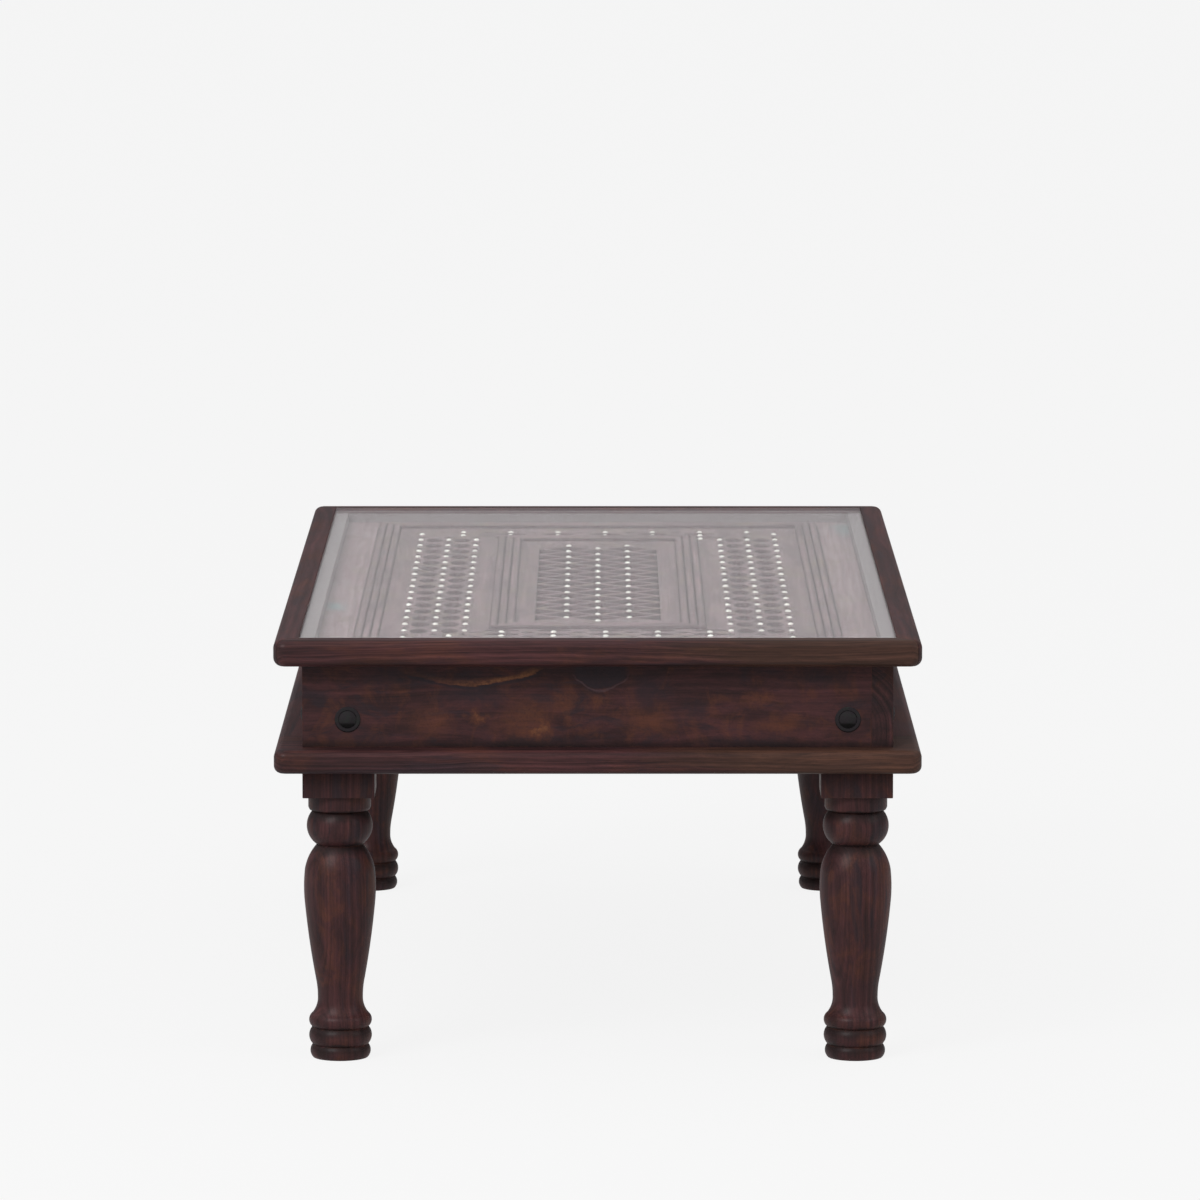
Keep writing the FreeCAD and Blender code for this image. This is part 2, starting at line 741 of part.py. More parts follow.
def flat_boards():
    """The cleats, the backing board on them, and the pane of glass."""
    inner_x = f"({HALF_X} - apron_reveal - apron_thickness)"
    inner_y = f"({HALF_Y} - apron_reveal - apron_thickness)"
    cleat_z = f"{APRON_TOP} - backing_thickness - cleat_side"
    half_cleat = "cleat_side / 2"
    for end, sign in (("front", "-"), ("back", "")):
        box("cleat_" + end, inner_x, half_cleat, "cleat_side", cleat_z,
            y=f"{sign}({inner_y} - {half_cleat})")
    for side, sign in (("left", "-"), ("right", "")):
        box("cleat_" + side, half_cleat, f"{inner_y} - cleat_side", "cleat_side", cleat_z,
            x=f"{sign}({inner_x} - {half_cleat})")
    box("backing_board", f"{inner_x} - joint_gap", f"{inner_y} - joint_gap",
        "backing_thickness", f"{APRON_TOP} - backing_thickness")
    box("glass_pane", f"{HALF_X} - glass_reveal - glass_gap",
        f"{HALF_Y} - glass_reveal - glass_gap", "glass_thickness",
        f"{TABLE_TOP} - glass_thickness")


for corner in CORNER_SHARES:
    leg(corner)
    corner_block(corner)
leg_fastenings()
for side in SIDES:
    rim_board(side)
    apron_board(side)
    top_rail(side)
    border_board(side)
    outer = "outer_moulding_inset"
    along, across = halves(side)
    reeded_moulding("outer_moulding", side, f"{along} - {outer}", f"{across} - {outer}",
                    "outer_moulding_width")
    along, across = (INNER_X, INNER_Y) if side in ("front", "back") else (INNER_Y, INNER_X)
    reeded_moulding("inner_moulding", side, along, across, "inner_moulding_width")
jali_panel()
nails()
apron_studs()
flat_boards()
doc.recompute()

for item in doc.Objects:
    if {"Invalid", "Error"} & set(item.State):
        raise RuntimeError("%s did not compute: %s" % (item.Label, item.State))
for item in sub_parts:
    if item.Shape.isNull() or not item.Shape.isValid():
        raise RuntimeError("%s has no sound shape" % item.Label)
os.makedirs("parts", exist_ok=True)
for item in sub_parts:
    item.Shape.exportStep("parts/%s.step" % item.Label)
reach = Part.makeCompound([item.Shape for item in sub_parts]).BoundBox
print("%d sub-parts, %.1f by %.1f by %.1f mm"
      % (len(sub_parts), reach.XLength, reach.YLength, reach.ZLength))
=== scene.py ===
import math

import bmesh
import bpy
from bpy.props import FloatProperty, FloatVectorProperty, IntProperty, PointerProperty
from mathutils import Euler, Matrix, Vector


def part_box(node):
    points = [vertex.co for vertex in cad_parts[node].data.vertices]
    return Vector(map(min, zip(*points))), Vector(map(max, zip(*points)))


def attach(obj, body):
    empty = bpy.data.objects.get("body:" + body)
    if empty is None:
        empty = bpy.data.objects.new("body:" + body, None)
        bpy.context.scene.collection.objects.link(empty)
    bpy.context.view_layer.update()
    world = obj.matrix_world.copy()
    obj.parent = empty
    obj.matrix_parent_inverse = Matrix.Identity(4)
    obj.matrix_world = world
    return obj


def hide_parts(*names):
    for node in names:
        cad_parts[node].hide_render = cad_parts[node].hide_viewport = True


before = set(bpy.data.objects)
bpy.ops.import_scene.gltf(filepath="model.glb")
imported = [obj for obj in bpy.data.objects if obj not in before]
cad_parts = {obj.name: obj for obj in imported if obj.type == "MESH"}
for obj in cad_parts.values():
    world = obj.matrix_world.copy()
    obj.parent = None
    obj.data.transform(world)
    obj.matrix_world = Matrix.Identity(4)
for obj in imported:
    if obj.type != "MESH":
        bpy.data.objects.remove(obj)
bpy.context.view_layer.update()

# A low table: turned legs under a boxed apron, a pierced and nailed panel under loose glass.
# Metres, +Z up. X runs along the short side, Y along the long side, and the front is at -Y.

bl_info = {
    "name": "Low table with a pierced top",
    "version": (1, 0, 0),
    "blender": (4, 5, 0),
    "location": "3D View > Sidebar > Low table",
    "description": "Boards, turned legs, reeds, pierced panel, nails, iron studs and glass",
    "category": "Add Mesh",
}

MM = 0.001

# Points closer than this are one point.
WELD = 0.01 * MM

# Edges that turn by more than this are sharp, in degrees, on boards and on turned legs.
SMOOTH_ANGLE = 40
TURNED_ANGLE = 30

# Faces that turn by less than this are one flat face.
FLAT_ANGLE = 0.5

# Steps of an arc in the outline of a hole, up the dome of a nail, and round a stud's edge.
HOLE_STEPS = 9
NAIL_STEPS = 4
STUD_STEPS = 6

# The stage, in metres: two square lamps, turned to the table, a round floor, and how far
# the camera sees.
KEY_SPOT = (-2.6, -3.6, 3.4)
FILL_SPOT = (3.6, -1.8, 2.4)
LAMP_AIM = Vector((0, 0, 0.3))
LAMP_SIDE = 2.4
FLOOR_RADIUS = 60.0
EYE_REACH = 200.0

# The four sides, with the turn that brings a piece drawn at the front to each.
SIDE_TURNS = {"front": 0, "right": 90, "back": 180, "left": 270}
CORNERS = ("front_left", "front_right", "back_right", "back_left")

# How grain that runs along an axis is turned to run along X, in degrees.
GRAIN_TURNS = {"X": (0, 0, 0), "Y": (0, 0, -90), "Z": (0, 90, 0)}
SIDE_GRAIN = {"front": "X", "right": "Y", "back": "X", "left": "Y"}

# From the middle of a board to the heart of the log that it was sawn from.
HEART_AWAY = Vector((-35, -35, -25)) * MM

# From one board to the next in the timber that they are sawn from, in metres.
TIMBER_STEP = (1.37, 0.61, 0.43)

# The square block's foot as a share of the leg's height, and the belly's radius as a share
# of half the block's side.
LEG_BLOCK_FOOT_SHARE = 249 / 275
LEG_BELLY_SHARE = 33.4 / 33.25

# The outline of a leg below its square block, from the floor up. Radii are shares of the
# belly's radius and heights are shares of the turned length. An entry of four is an arc:
# a point that it goes through, and its end.
LEG_OUTLINE_SHARES = [
    (0.763, 0.000),
    (0.841, 0.025, 0.769, 0.050),
    (0.874, 0.082, 0.778, 0.116),
    (0.874, 0.144, 0.778, 0.168),
    (0.665, 0.196, 0.629, 0.233),
    (0.638, 0.261, 0.665, 0.289),
    (0.856, 0.446, 0.988, 0.602),
    (1.000, 0.659, 0.973, 0.715),
    (0.865, 0.762, 0.635, 0.809),
    (0.916, 0.880, 0.737, 0.939),
    (0.835, 0.941),
    (0.871, 0.951),
    (0.871, 1.000),
]

# Outlines of the holes, in shares of the nails' spacing across a strip and of their pitch
# along it. An entry of four is an arc, as above.
OVAL_SHARES = [(0.105, -0.318), (0.297, 0, 0.105, 0.318),
               (-0.105, 0.318), (-0.297, 0, -0.105, -0.318)]
EYE_SHARES = [(0, -0.144), (0.175, 0), (0, 0.144), (-0.175, 0)]
EDGE_EYE_SHARES = [(0, -0.144), (0.175, 0), (0, 0.144), (-0.087, 0)]

# Outlines of the centre's diamonds, in shares of half their width and length.
DIAMOND_SHARES = [(0, -1), (1, 0), (0, 1), (-1, 0)]
HALF_DIAMOND_SHARES = [(0, -1), (0, 1), (-1, 0)]

# The figure of the front apron board, in millimetres: the middle of each patch on X and Z,
# its half width and half height, and its strength. The dark patches along the board's foot are
# painted shade where it meets the rim. Then the two bowls of grain: the middle,
# the lowest level, the half width and the rise at the ends.
WARM_PATCHES = [(-156, 320, 22, 15, 0.5), (-110, 326, 10, 6, 0.8), (-66, 324, 28, 20, 0.6),
                (-52, 314, 10, 13, 0.9), (-30, 342, 10, 15, 0.5), (-3, 340, 8, 9, 0.6),
                (49, 322, 25, 14, 0.6), (111, 341, 13, 6, 0.4), (151, 341, 20, 7, 0.6),
                (164, 317, 22, 7, 0.6)]
DARK_FIGURE_AND_FOOT_SHADE = [(47, 352, 20, 16, 0.7), (-114, 345, 34, 8, 0.7), (-190, 362, 32, 9, 0.6),
                (-60, 301, 60, 7, 0.6), (140, 301, 60, 6, 0.6), (88, 330, 14, 10, 0.6),
                (205, 361, 40, 9, 0.5), (-215, 306, 30, 9, 0.5)]
GOLD_BOWL = (-118, 354.5, 66, 14.4)
DARK_BOWL = (3, 351, 26, 14)

# Old paint on the border: the middle of each patch on X and Y, half sizes and strength.
PAINT_PATCHES = [(-257, -193, 13, 34, 0.85), (257, 444, 12, 60, 0.7)]

# Where stains and shades begin and are full, in millimetres from the place that they mark.
BROWN_START = (10, 150)
GOLD_START = (-165, -95)
DARK_EDGE = (0, 2.5)
LEDGE_EDGE = (1.2, 0.6)
# Painted shade along the foot and the top of an apron board.
FOOT_SHADE = (9, 1)
HEAD_SHADE = (-4, -0.5)
# Painted shade in the grooves between reeds.
GROOVE_SHADE = (2.7, 1.3)
JOINT_GRIME = (2.4, 1)
HOLE_SHADE = (0.5, 4)

# The same for bands, which also have where they begin to fade and where they end.
GOLD_BAND = (-0.4, 0.8, 1.5, 7.5)
GOLD_SHADOW = (-4, -1.5, -0.8, 0.2)
DARK_RIM = (-2, -0.5, 0, 1.2)
# Painted shade below each crease of a leg, from the crease.
CREASE_SHADE = (-11, -2, 0.5, 2.5)

# How far noise moves the edges of some of them, in millimetres.
BROWN_WANDER = 400
BOWL_WANDER = 9
CREASE_WANDER = 12

# How strongly the growth lines show on the boards of each side.
SIDE_FIBRE = {"front": 0.95, "right": 0.4, "back": 0.95, "left": 0.4}

# The creases of a leg's turning, as shares of the turned length.
LEG_CREASE_SHARES = (0.050, 0.116, 0.809, 0.939)

# A nail of a third row shows by itself at the back right, on X and Y.
LONE_NAIL = (106.1 * MM, 360.5 * MM)


def srgb(red, green, blue):
    """A colour as it looks, from 0 to 255 a channel, as the linear values that nodes take."""
    def linear(channel):
        part = channel / 255
        return part / 12.92 if part <= 0.04045 else ((part + 0.055) / 1.055) ** 2.4

    return (linear(red), linear(green), linear(blue), 1.0)


def colour(name, description, *channels):
    """A colour property with its default given as it looks."""
    return FloatVectorProperty(name=name, description=description, subtype="COLOR", size=4,
                               min=0, max=1, default=srgb(*channels))


def length(name, description, millimetres):
    """A length property with its default given in millimetres."""
    return FloatProperty(name=name, description=description, unit="LENGTH",
                         default=millimetres * MM, min=0, precision=5)


def share(name, description, default):
    """A property from 0 to 1."""
    return FloatProperty(name=name, description=description, subtype="FACTOR",
                         default=default, min=0, max=1)


class LOWTABLE_sizes(bpy.types.PropertyGroup):
    """Small sizes of the finished pieces."""
    board_ease: length("Board edges", "How far the sharp edges of the boards are eased", 0.7)
    hole_ease: length("Hole edges", "How far the edges of the pierced holes are eased", 0.7)
    glass_ease: length("Glass edges", "Arris on the edges of the glass", 0.6)
    glass_air: length("Air under the glass", "Film of air between the glass and its ledge", 0.2)
    lattice_strip: length("Lattice strips", "Width of the strips between diamonds", 8)
    reed_groove: length("Reed grooves", "Height of the grooves between two reeds", 1)
    reed_count: IntProperty(name="Reeds", description="Reeds side by side on a moulding",
                            default=3, min=1)
    reed_steps: IntProperty(name="Reed steps", description="Faces across one reed",
                            default=10, min=3)
    turning_sides: IntProperty(name="Turning sides", description="Faces round a turned leg",
                               default=112, min=12)
    turning_steps: IntProperty(name="Turning steps", description="Faces along an arc of a leg",
                               default=14, min=2)
    stud_sides: IntProperty(name="Stud sides", description="Faces round an iron stud",
                            default=48, min=12)
    stud_sunk: length("Stud root", "How deep a stud reaches into the board", 3)
    stud_flange: length("Stud flange", "Thickness of a stud's flange", 1)
    stud_knob: length("Stud knob", "Radius of a stud's domed knob", 8.2)
    stud_height: length("Stud height", "How far a stud's knob stands off the board", 3)
    nail_sides: IntProperty(name="Nail sides", description="Faces round a nail head",
                            default=10, min=6)
    nail_tilt: FloatProperty(name="Nail tilt", description="How far a nail head leans at most",
                             subtype="ANGLE", default=math.radians(5), min=0)
    nail_spread: share("Nail spread", "How much nail heads differ in size", 0.06)
    seed: IntProperty(name="Seed", description="Start of every random draw", default=7)


class LOWTABLE_finishes(bpy.types.PropertyGroup):
    """Colours and sheen of the materials."""
    wood_dark: colour("Dark wood", "Ground of the dark red-brown boards", 46, 27, 28)
    wood_mid: colour("Middle wood", "Lighter bands between the dark ones", 68, 39, 40)
    wood_warm: colour("Warm wood", "Orange-brown patches", 92, 53, 36)
    wood_black: colour("Black streaks", "Blue-black ribbons along the grain", 37, 30, 36)
    wood_brown: colour("Brown wood", "Brown stretch at the right of the front boards", 84, 58, 45)
    sapwood: colour("Sapwood", "Golden crescent in the front apron board", 120, 78, 52)
    end_wood: colour("End grain", "Ends of the boards, where the lacquer sinks in", 34, 23, 24)
    ledge: colour("Glass ledge", "Dull ledge that the glass lies on", 118, 108, 110)
    panel_dark: colour("Dark panel", "Ground of the pierced panel and its frames", 92, 71, 76)
    panel_mid: colour("Middle panel", "Lighter bands of the panel", 128, 102, 107)
    panel_warm: colour("Warm panel", "Olive-brown patches of the panel", 116, 103, 84)
    hole_wall: colour("Hole walls", "Bare wood in the pierced holes", 98, 75, 78)
    groove: colour("Grooves", "Red-brown polish left in the grooves of the reeds", 58, 28, 36)
    tooled_mid: colour("Tooled border", "Lighter ground of the tooled border", 144, 122, 126)
    # Painted shade in the grooves of the reeds and deep in the pierced holes; also the dark joint
    # line along the outer moulding and the darker lips of the holes.
    old_paint: colour("Old paint", "Faint blue-green left in the hollows", 98, 136, 138)
    timber_dark: colour("Dark timber", "Bands of the plain timber inside", 112, 82, 56)
    timber_mid: colour("Middle timber", "Ground of the plain timber inside", 152, 118, 82)
    backing: colour("Backing", "Stained plywood under the panel", 70, 50, 42)
    iron: colour("Iron", "Blackened iron studs", 37, 33, 36)
    iron_dust: colour("Iron dust", "Grey-green bloom on the iron", 44, 50, 45)
    nail: colour("Nails", "Bright pale metal of the nail heads", 246, 242, 236)
    nail_tarnish: colour("Nail tarnish", "Tarnish at the foot of the nail heads", 140, 126, 104)
    zinc: colour("Zinc", "Plated bolts, washers and nuts", 176, 178, 178)
    zinc_bloom: colour("Zinc bloom", "Dull white bloom on the plating", 142, 142, 140)
    glass: colour("Glass", "Faint green of float glass", 249, 252, 251)
    # Painted shade, nearly black, in the creases of the legs and along the foot and top of the
    # aprons.
    painted_shade: colour("Old polish", "Nearly black polish in creases and corners", 24, 17, 17)
    # Painted shade on the iron where it faces down.
    underside_shade: colour("Grime", "Grime where the iron faces down", 8, 7, 7)
    ribbons: share("Ribbons", "How strongly the black streaks show on the boards", 0.6)
    lacquer: share("Lacquer", "Weight of the satin lacquer on the boards", 0.12)
    grain_depth: length("Grain depth", "Depth of the open grain", 0.25)
    edge_wear: length("Edge wear", "How far the rubbed edges of the boards reach", 3)
    punch_pitch: length("Punch marks", "Pitch of the punch marks on the border", 4.2)


class LOWTABLE_stage(bpy.types.PropertyGroup):
    """Floor, light and camera."""
    floor: colour("Floor", "Pale floor, as the camera sees it", 246, 246, 246)
    backdrop: colour("Mirrored backdrop", "What the gloss mirrors level with the table",
                     158, 152, 155)
    ceiling: colour("Mirrored ceiling", "What the gloss mirrors from above", 240, 240, 240)
    bounce: colour("Floor bounce", "Floor, as it lights the table from below", 150, 149, 148)
    glow: share("Floor glow", "How much of the floor's colour doesn't wait for light", 0.94)
    dome: FloatProperty(name="Dome", description="Strength of the even light from all round",
                        default=0.78, min=0)
    key_power: FloatProperty(name="Key lamp", description="Power of the lamp at the front left",
                             unit="POWER", default=150, min=0)
    fill_power: FloatProperty(name="Fill lamp", description="Power of the lamp at the right",
                              unit="POWER", default=30, min=0)
    eye_height: length("Eye height", "Height of the camera above the floor", 1359.75)
    eye_distance: length("Eye distance", "Distance of the camera from the middle", 7835.1)
    eye_shift: length("Eye offset", "How far the camera stands to the right", 2.1)
    eye_dip: FloatProperty(name="Eye dip", description="How far the camera looks down",
                           subtype="ANGLE", default=math.radians(7.211))
    focal_pixels: FloatProperty(name="Focal length", description="In pixels of the image",
                                default=7963.4, min=1)
    image_side: IntProperty(name="Image side", description="Pixels along the square image",
                            default=1200, min=1)


class Wiring:
    """Adds nodes to a tree and links them. A value may be a number, a colour or a socket."""

    def __init__(self, tree):
        self.tree = tree

    def feed(self, socket, value):
        if isinstance(value, bpy.types.NodeSocket):
            self.tree.links.new(value, socket)
        else:
            socket.default_value = value

    def node(self, kind, inputs=None, **settings):
        node = self.tree.nodes.new(kind)
        for key, value in settings.items():
            setattr(node, key, value)
        for key, value in (inputs or {}).items():
            self.feed(node.inputs[key], value)
        return node

    def first(self, kind, inputs=None, **settings):
        """The first output of a new node."""
        return self.node(kind, inputs, **settings).outputs[0]

    def maths(self, operation, *values):
        return self.first("ShaderNodeMath", dict(enumerate(values)), operation=operation)

    def plus(self, first, second):
        return self.maths("ADD", first, second)

    def minus(self, first, second):
        return self.maths("SUBTRACT", first, second)

    def most(self, first, second):
        return self.maths("MAXIMUM", first, second)

    def times(self, product, *factors):
        for factor in factors:
            product = self.maths("MULTIPLY", product, factor)
        return product

    def sway(self, value, noise, amount):
        """A value moved up and down by a noise."""
        return self.maths("MULTIPLY_ADD", self.minus(noise, 0.5), amount, value)

    def vector(self, operation, *values):
        node = self.node("ShaderNodeVectorMath", dict(enumerate(values)), operation=operation)
        return node.outputs["Value" if operation in ("LENGTH", "DOT_PRODUCT") else "Vector"]

    def stretched(self, vector, factors):
        return self.vector("MULTIPLY", vector, factors)

    def xyz(self, x=0.0, y=0.0, z=0.0):
        return self.first("ShaderNodeCombineXYZ", {"X": x, "Y": y, "Z": z})

    def mix(self, factor, first, second, blend="MIX"):
        """Two colours mixed by a factor, 1 for the second."""
        return self.node("ShaderNodeMix", {0: factor, 6: first, 7: second},
                         data_type="RGBA", blend_type=blend).outputs[2]

    def ease(self, value, low, high, bottom=0.0, top=1.0):
        """The value's way from low to high, eased at both ends."""
        return self.first("ShaderNodeMapRange", dict(enumerate((value, low, high, bottom, top))),
                          interpolation_type="SMOOTHSTEP")

    def fade(self, value, ends, base=0.0, bottom=0.0, top=1.0):
        """Eased between two ends that are given in millimetres from a base."""
        return self.ease(value, base + ends[0] * MM, base + ends[1] * MM, bottom, top)

    def band(self, value, ends, base=0.0):
        """A mask that fades in between the first two ends and out between the last two."""
        start, full, still, end = ends
        return self.times(self.fade(value, (start, full), base),
                          self.fade(value, (end, still), base))

    def noise(self, vector, scale, detail=2.0, roughness=0.5, distortion=0.0):
        return self.first("ShaderNodeTexNoise", {
            "Vector": vector, "Scale": scale, "Detail": detail, "Roughness": roughness,
            "Distortion": distortion})

    def shaken(self, place, reach, noise):
        """A place moved about by a coloured noise, up to half its reach each way."""
        drift = self.node("ShaderNodeTexNoise", noise).outputs["Color"]
        drift = self.vector("SUBTRACT", drift, (0.5, 0.5, 0.5))
        return self.vector("ADD", place, self.stretched(drift, reach))

    def group(self, name, inputs):
        return self.node("ShaderNodeGroup", inputs, node_tree=bpy.data.node_groups[name]).outputs


def new_group(name, kind, inputs, outputs):
    """An empty node group, and its wiring, inlet and outlet. Sockets are given by their kind,
    and plain numbers by their default."""
    tree = bpy.data.node_groups.new(name, kind)
    for label, given in inputs.items():
        number = isinstance(given, float)
        item = tree.interface.new_socket(
            label, in_out="INPUT", socket_type="NodeSocket" + ("Float" if number else given))
        if number:
            item.default_value = given
    for label, given in outputs.items():
        tree.interface.new_socket(label, in_out="OUTPUT", socket_type="NodeSocket" + given)
    wires = Wiring(tree)
    return wires, wires.node("NodeGroupInput").outputs, wires.node("NodeGroupOutput").inputs


def grain_group():
    """Hardwood along X: year rings about its heart, bands, ribbons, patches, fibres and pores."""
    wires, inlet, outlet = new_group("Long grain", "ShaderNodeTree", {
        "Vector": "Vector", "Heart": "Vector", "Dark": "Color", "Middle": "Color",
        "Warm": "Color", "Black": "Color", "Warmth": 0.5, "Ribbons": 0.5, "Fibre": 0.5,
        "Curl": 1.0}, {"Colour": "Color", "Height": "Float", "Gloss": "Float"})
    place = wires.shaken(inlet["Vector"], (0.05, 0.022, 0.022), {
        "Vector": wires.stretched(inlet["Vector"], (3, 9, 9)), "Scale": 1.0, "Detail": 3.0})

    from_heart = wires.stretched(wires.vector("SUBTRACT", place, inlet["Heart"]), (0, 1, 1))
    rings = wires.first("ShaderNodeTexNoise", {
        "W": wires.vector("LENGTH", from_heart), "Scale": 290.0, "Detail": 3.0,
        "Roughness": 0.62}, noise_dimensions="1D")

    curled = wires.vector("MULTIPLY", place, wires.xyz(inlet["Curl"], 1.0, 1.0))
    bands = wires.noise(wires.stretched(curled, (4, 60, 60)), 1.0, 5.0, 0.66, 0.5)
    ribbons = wires.noise(wires.stretched(curled, (3, 32, 32)), 1.7, 4.0, 0.62, 0.8)
    patches = wires.noise(wires.stretched(curled, (9, 24, 24)), 1.3, 4.0, 0.64, 0.6)
    fibres = wires.noise(wires.stretched(place, (30, 900, 900)), 1.0, 3.0, 0.6)
    pores = wires.noise(wires.stretched(place, (130, 2300, 2300)), 1.0, 1.0, 0.5)

    wood = wires.mix(wires.ease(bands, 0.36, 0.66), inlet["Dark"], inlet["Middle"])
    warm = wires.times(wires.ease(patches, 0.46, 0.7), inlet["Warmth"])
    wood = wires.mix(warm, wood, inlet["Warm"])
    black = wires.times(wires.ease(ribbons, 0.52, 0.66), inlet["Ribbons"])
    wood = wires.mix(black, wood, inlet["Black"])
    stripe = wires.times(wires.minus(rings, 0.5), 2.6)
    thread = wires.times(wires.minus(fibres, 0.5), 1.6)
    lift = wires.maths("MULTIPLY_ADD", wires.plus(stripe, thread), inlet["Fibre"], 1.0)
    wood = wires.first("ShaderNodeVectorMath", {0: wood, "Scale": lift}, operation="SCALE")
    open_pore = wires.ease(pores, 0.62, 0.74)
    wood = wires.mix(wires.times(open_pore, 0.55), wood, inlet["Black"])
    wires.feed(outlet["Colour"], wood)
    wires.feed(outlet["Height"], wires.minus(
        wires.times(wires.plus(fibres, rings), 0.25), open_pore))
    wires.feed(outlet["Gloss"], wires.plus(wires.times(fibres, 0.16), wires.times(patches, 0.16)))


def worn_edge_group():
    """A mask of edges rubbed by use, broken up by noise."""
    wires, inlet, outlet = new_group("Worn edges", "ShaderNodeTree", {
        "Vector": "Vector", "Reach": 0.003}, {"Mask": "Float"})
    rounded = wires.first("ShaderNodeBevel", {"Radius": inlet["Reach"]}, samples=4)
    normal = wires.node("ShaderNodeNewGeometry").outputs["Normal"]
    edge = wires.ease(wires.vector("DOT_PRODUCT", rounded, normal), 0.995, 0.86)
    broken = wires.ease(wires.noise(inlet["Vector"], 90.0, 4.0, 0.65), 0.42, 0.6)
    wires.feed(outlet["Mask"], wires.times(edge, broken))


def tooled_group():
    """Small hammered dents, as left by a round punch, and a mask of their hollows."""
    wires, inlet, outlet = new_group("Tooled surface", "ShaderNodeTree", {
        "Vector": "Vector", "Pitch": 0.005}, {"Height": "Float", "Hollows": "Float"})
    shake = wires.node("ShaderNodeTexNoise", {"Vector": inlet["Vector"], "Scale": 70.0})
    place = wires.vector("ADD", inlet["Vector"],
                         wires.stretched(shake.outputs["Color"], (0.006, 0.006, 0)))
    cells = wires.node("ShaderNodeTexVoronoi", {
        "Vector": place, "Scale": wires.maths("DIVIDE", 1.0, inlet["Pitch"])})
    dent = wires.ease(cells.outputs["Distance"], 0.1, 0.62)
    wires.feed(outlet["Height"], dent)
    wires.feed(outlet["Hollows"], wires.minus(1.0, dent))


def metal_bloom_group():
    """Fine pitting and a cloudy bloom for iron, zinc and nail heads."""
    wires, inlet, outlet = new_group("Metal bloom", "ShaderNodeTree", {
        "Vector": "Vector", "Metal": "Color", "Bloom": "Color", "Amount": 0.4, "Grain": 500.0,
    }, {"Colour": "Color", "Height": "Float", "Bloom": "Float"})
    cloud = wires.ease(wires.noise(inlet["Vector"], 120.0, 5.0, 0.65), 0.45, 0.7)
    bloom = wires.times(cloud, inlet["Amount"])
    wires.feed(outlet["Colour"], wires.mix(bloom, inlet["Metal"], inlet["Bloom"]))
    wires.feed(outlet["Height"], wires.noise(inlet["Vector"], inlet["Grain"], 4.0, 0.6))
    wires.feed(outlet["Bloom"], bloom)


def new_material(name):
    """A material with an empty tree, its wiring, its object coordinates and its output."""
    material = bpy.data.materials.new(name)
    material.use_nodes = True
    material.node_tree.nodes.clear()
    wires = Wiring(material.node_tree)
    place = wires.node("ShaderNodeTexCoord").outputs["Object"]
    return material, wires, place, wires.node("ShaderNodeOutputMaterial").inputs["Surface"]


def bump(wires, height, depth, strength=1.0):
    """The surface's normal, roughened by a height from 0 to 1."""
    return wires.first("ShaderNodeBump", {"Height": height, "Distance": depth,
                                          "Strength": strength})


def principled(wires, surface, values):
    """Leads a Principled shader to the surface."""
    wires.feed(surface, wires.first("ShaderNodeBsdfPrincipled", values))


def axes_of(wires, vector):
    """The X, Y and Z of a vector, by their names."""
    return wires.node("ShaderNodeSeparateXYZ", {"Vector": vector}).outputs


def facing(wires, place):
    """The way that the surface faces, in the piece's own axes."""
    return axes_of(wires, place.node.outputs["Normal"])


def grained(wires, place, node, grain, index, colours, amounts):
    """The grain of a board that stands for a node: turned along an axis, and cut from a
    stretch of timber of its own."""
    turn = Euler([math.radians(angle) for angle in GRAIN_TURNS[grain]])
    offset = Vector([index * step for step in TIMBER_STEP])
    low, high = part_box(node)
    heart = turn.to_matrix() @ ((low + high) / 2 + HEART_AWAY) + offset
    long_way = wires.first("ShaderNodeMapping", {
        "Vector": place, "Location": offset, "Rotation": turn})
    dark, middle, warm, black = colours
    return long_way, wires.group("Long grain", {
        "Vector": long_way, "Heart": heart, "Dark": dark, "Middle": middle, "Warm": warm,
        "Black": black, **amounts})


def hardwood(name, node, grain, index, warmth, fibre=0.7, curl=1.0, touches=()):
    """Lacquered dark hardwood with rubbed edges and dark ends."""
    finishes = bpy.context.scene.table_finishes
    material, wires, place, surface = new_material(name)
    colours = (finishes.wood_dark, finishes.wood_mid, finishes.wood_warm, finishes.wood_black)
    end = wires.ease(wires.maths("ABSOLUTE", facing(wires, place)[grain]), 0.7, 0.95)
    long_way, wood = grained(wires, place, node, grain, index, colours, {
        "Warmth": warmth, "Ribbons": finishes.ribbons, "Curl": curl,
        "Fibre": wires.maths("MULTIPLY_ADD", end, 0.5, fibre)})
    tint = wood["Colour"]
    for touch in touches:
        tint = touch(wires, place, tint)
    tint = wires.mix(wires.times(end, 0.45), tint, finishes.end_wood)
    worn = wires.group("Worn edges", {
        "Vector": long_way, "Reach": finishes.edge_wear})["Mask"]
    principled(wires, surface, {
        "Base Color": wires.mix(wires.times(worn, 0.3), tint, finishes.wood_warm),
        "Roughness": wires.plus(wood["Gloss"], 0.48),
        "Normal": bump(wires, wood["Height"], finishes.grain_depth, 0.5),
        "Specular IOR Level": 0.13,
        "Coat Weight": finishes.lacquer,
        "Coat Roughness": 0.3,
    })
    return material


def patch_mask(wires, place, patches, upward="Z"):
    """A mask of soft, broken patches that lie along X and a second axis."""
    axes = axes_of(wires, wires.shaken(place, (0.05, 0.03, 0.03), {
        "Vector": place, "Scale": 55.0, "Detail": 5.0, "Roughness": 0.68}))
    total = 0.0
    for middle_x, middle_up, half_width, half_height, strength in patches:
        away = [wires.maths("DIVIDE", wires.minus(axes[axis], middle * MM), half * MM)
                for axis, middle, half in (("X", middle_x, half_width),
                                           (upward, middle_up, half_height))]
        patch = wires.ease(wires.vector("LENGTH", wires.xyz(*away)), 1.5, 0.0, 0.0, strength)
        total = wires.most(total, patch)
    return total


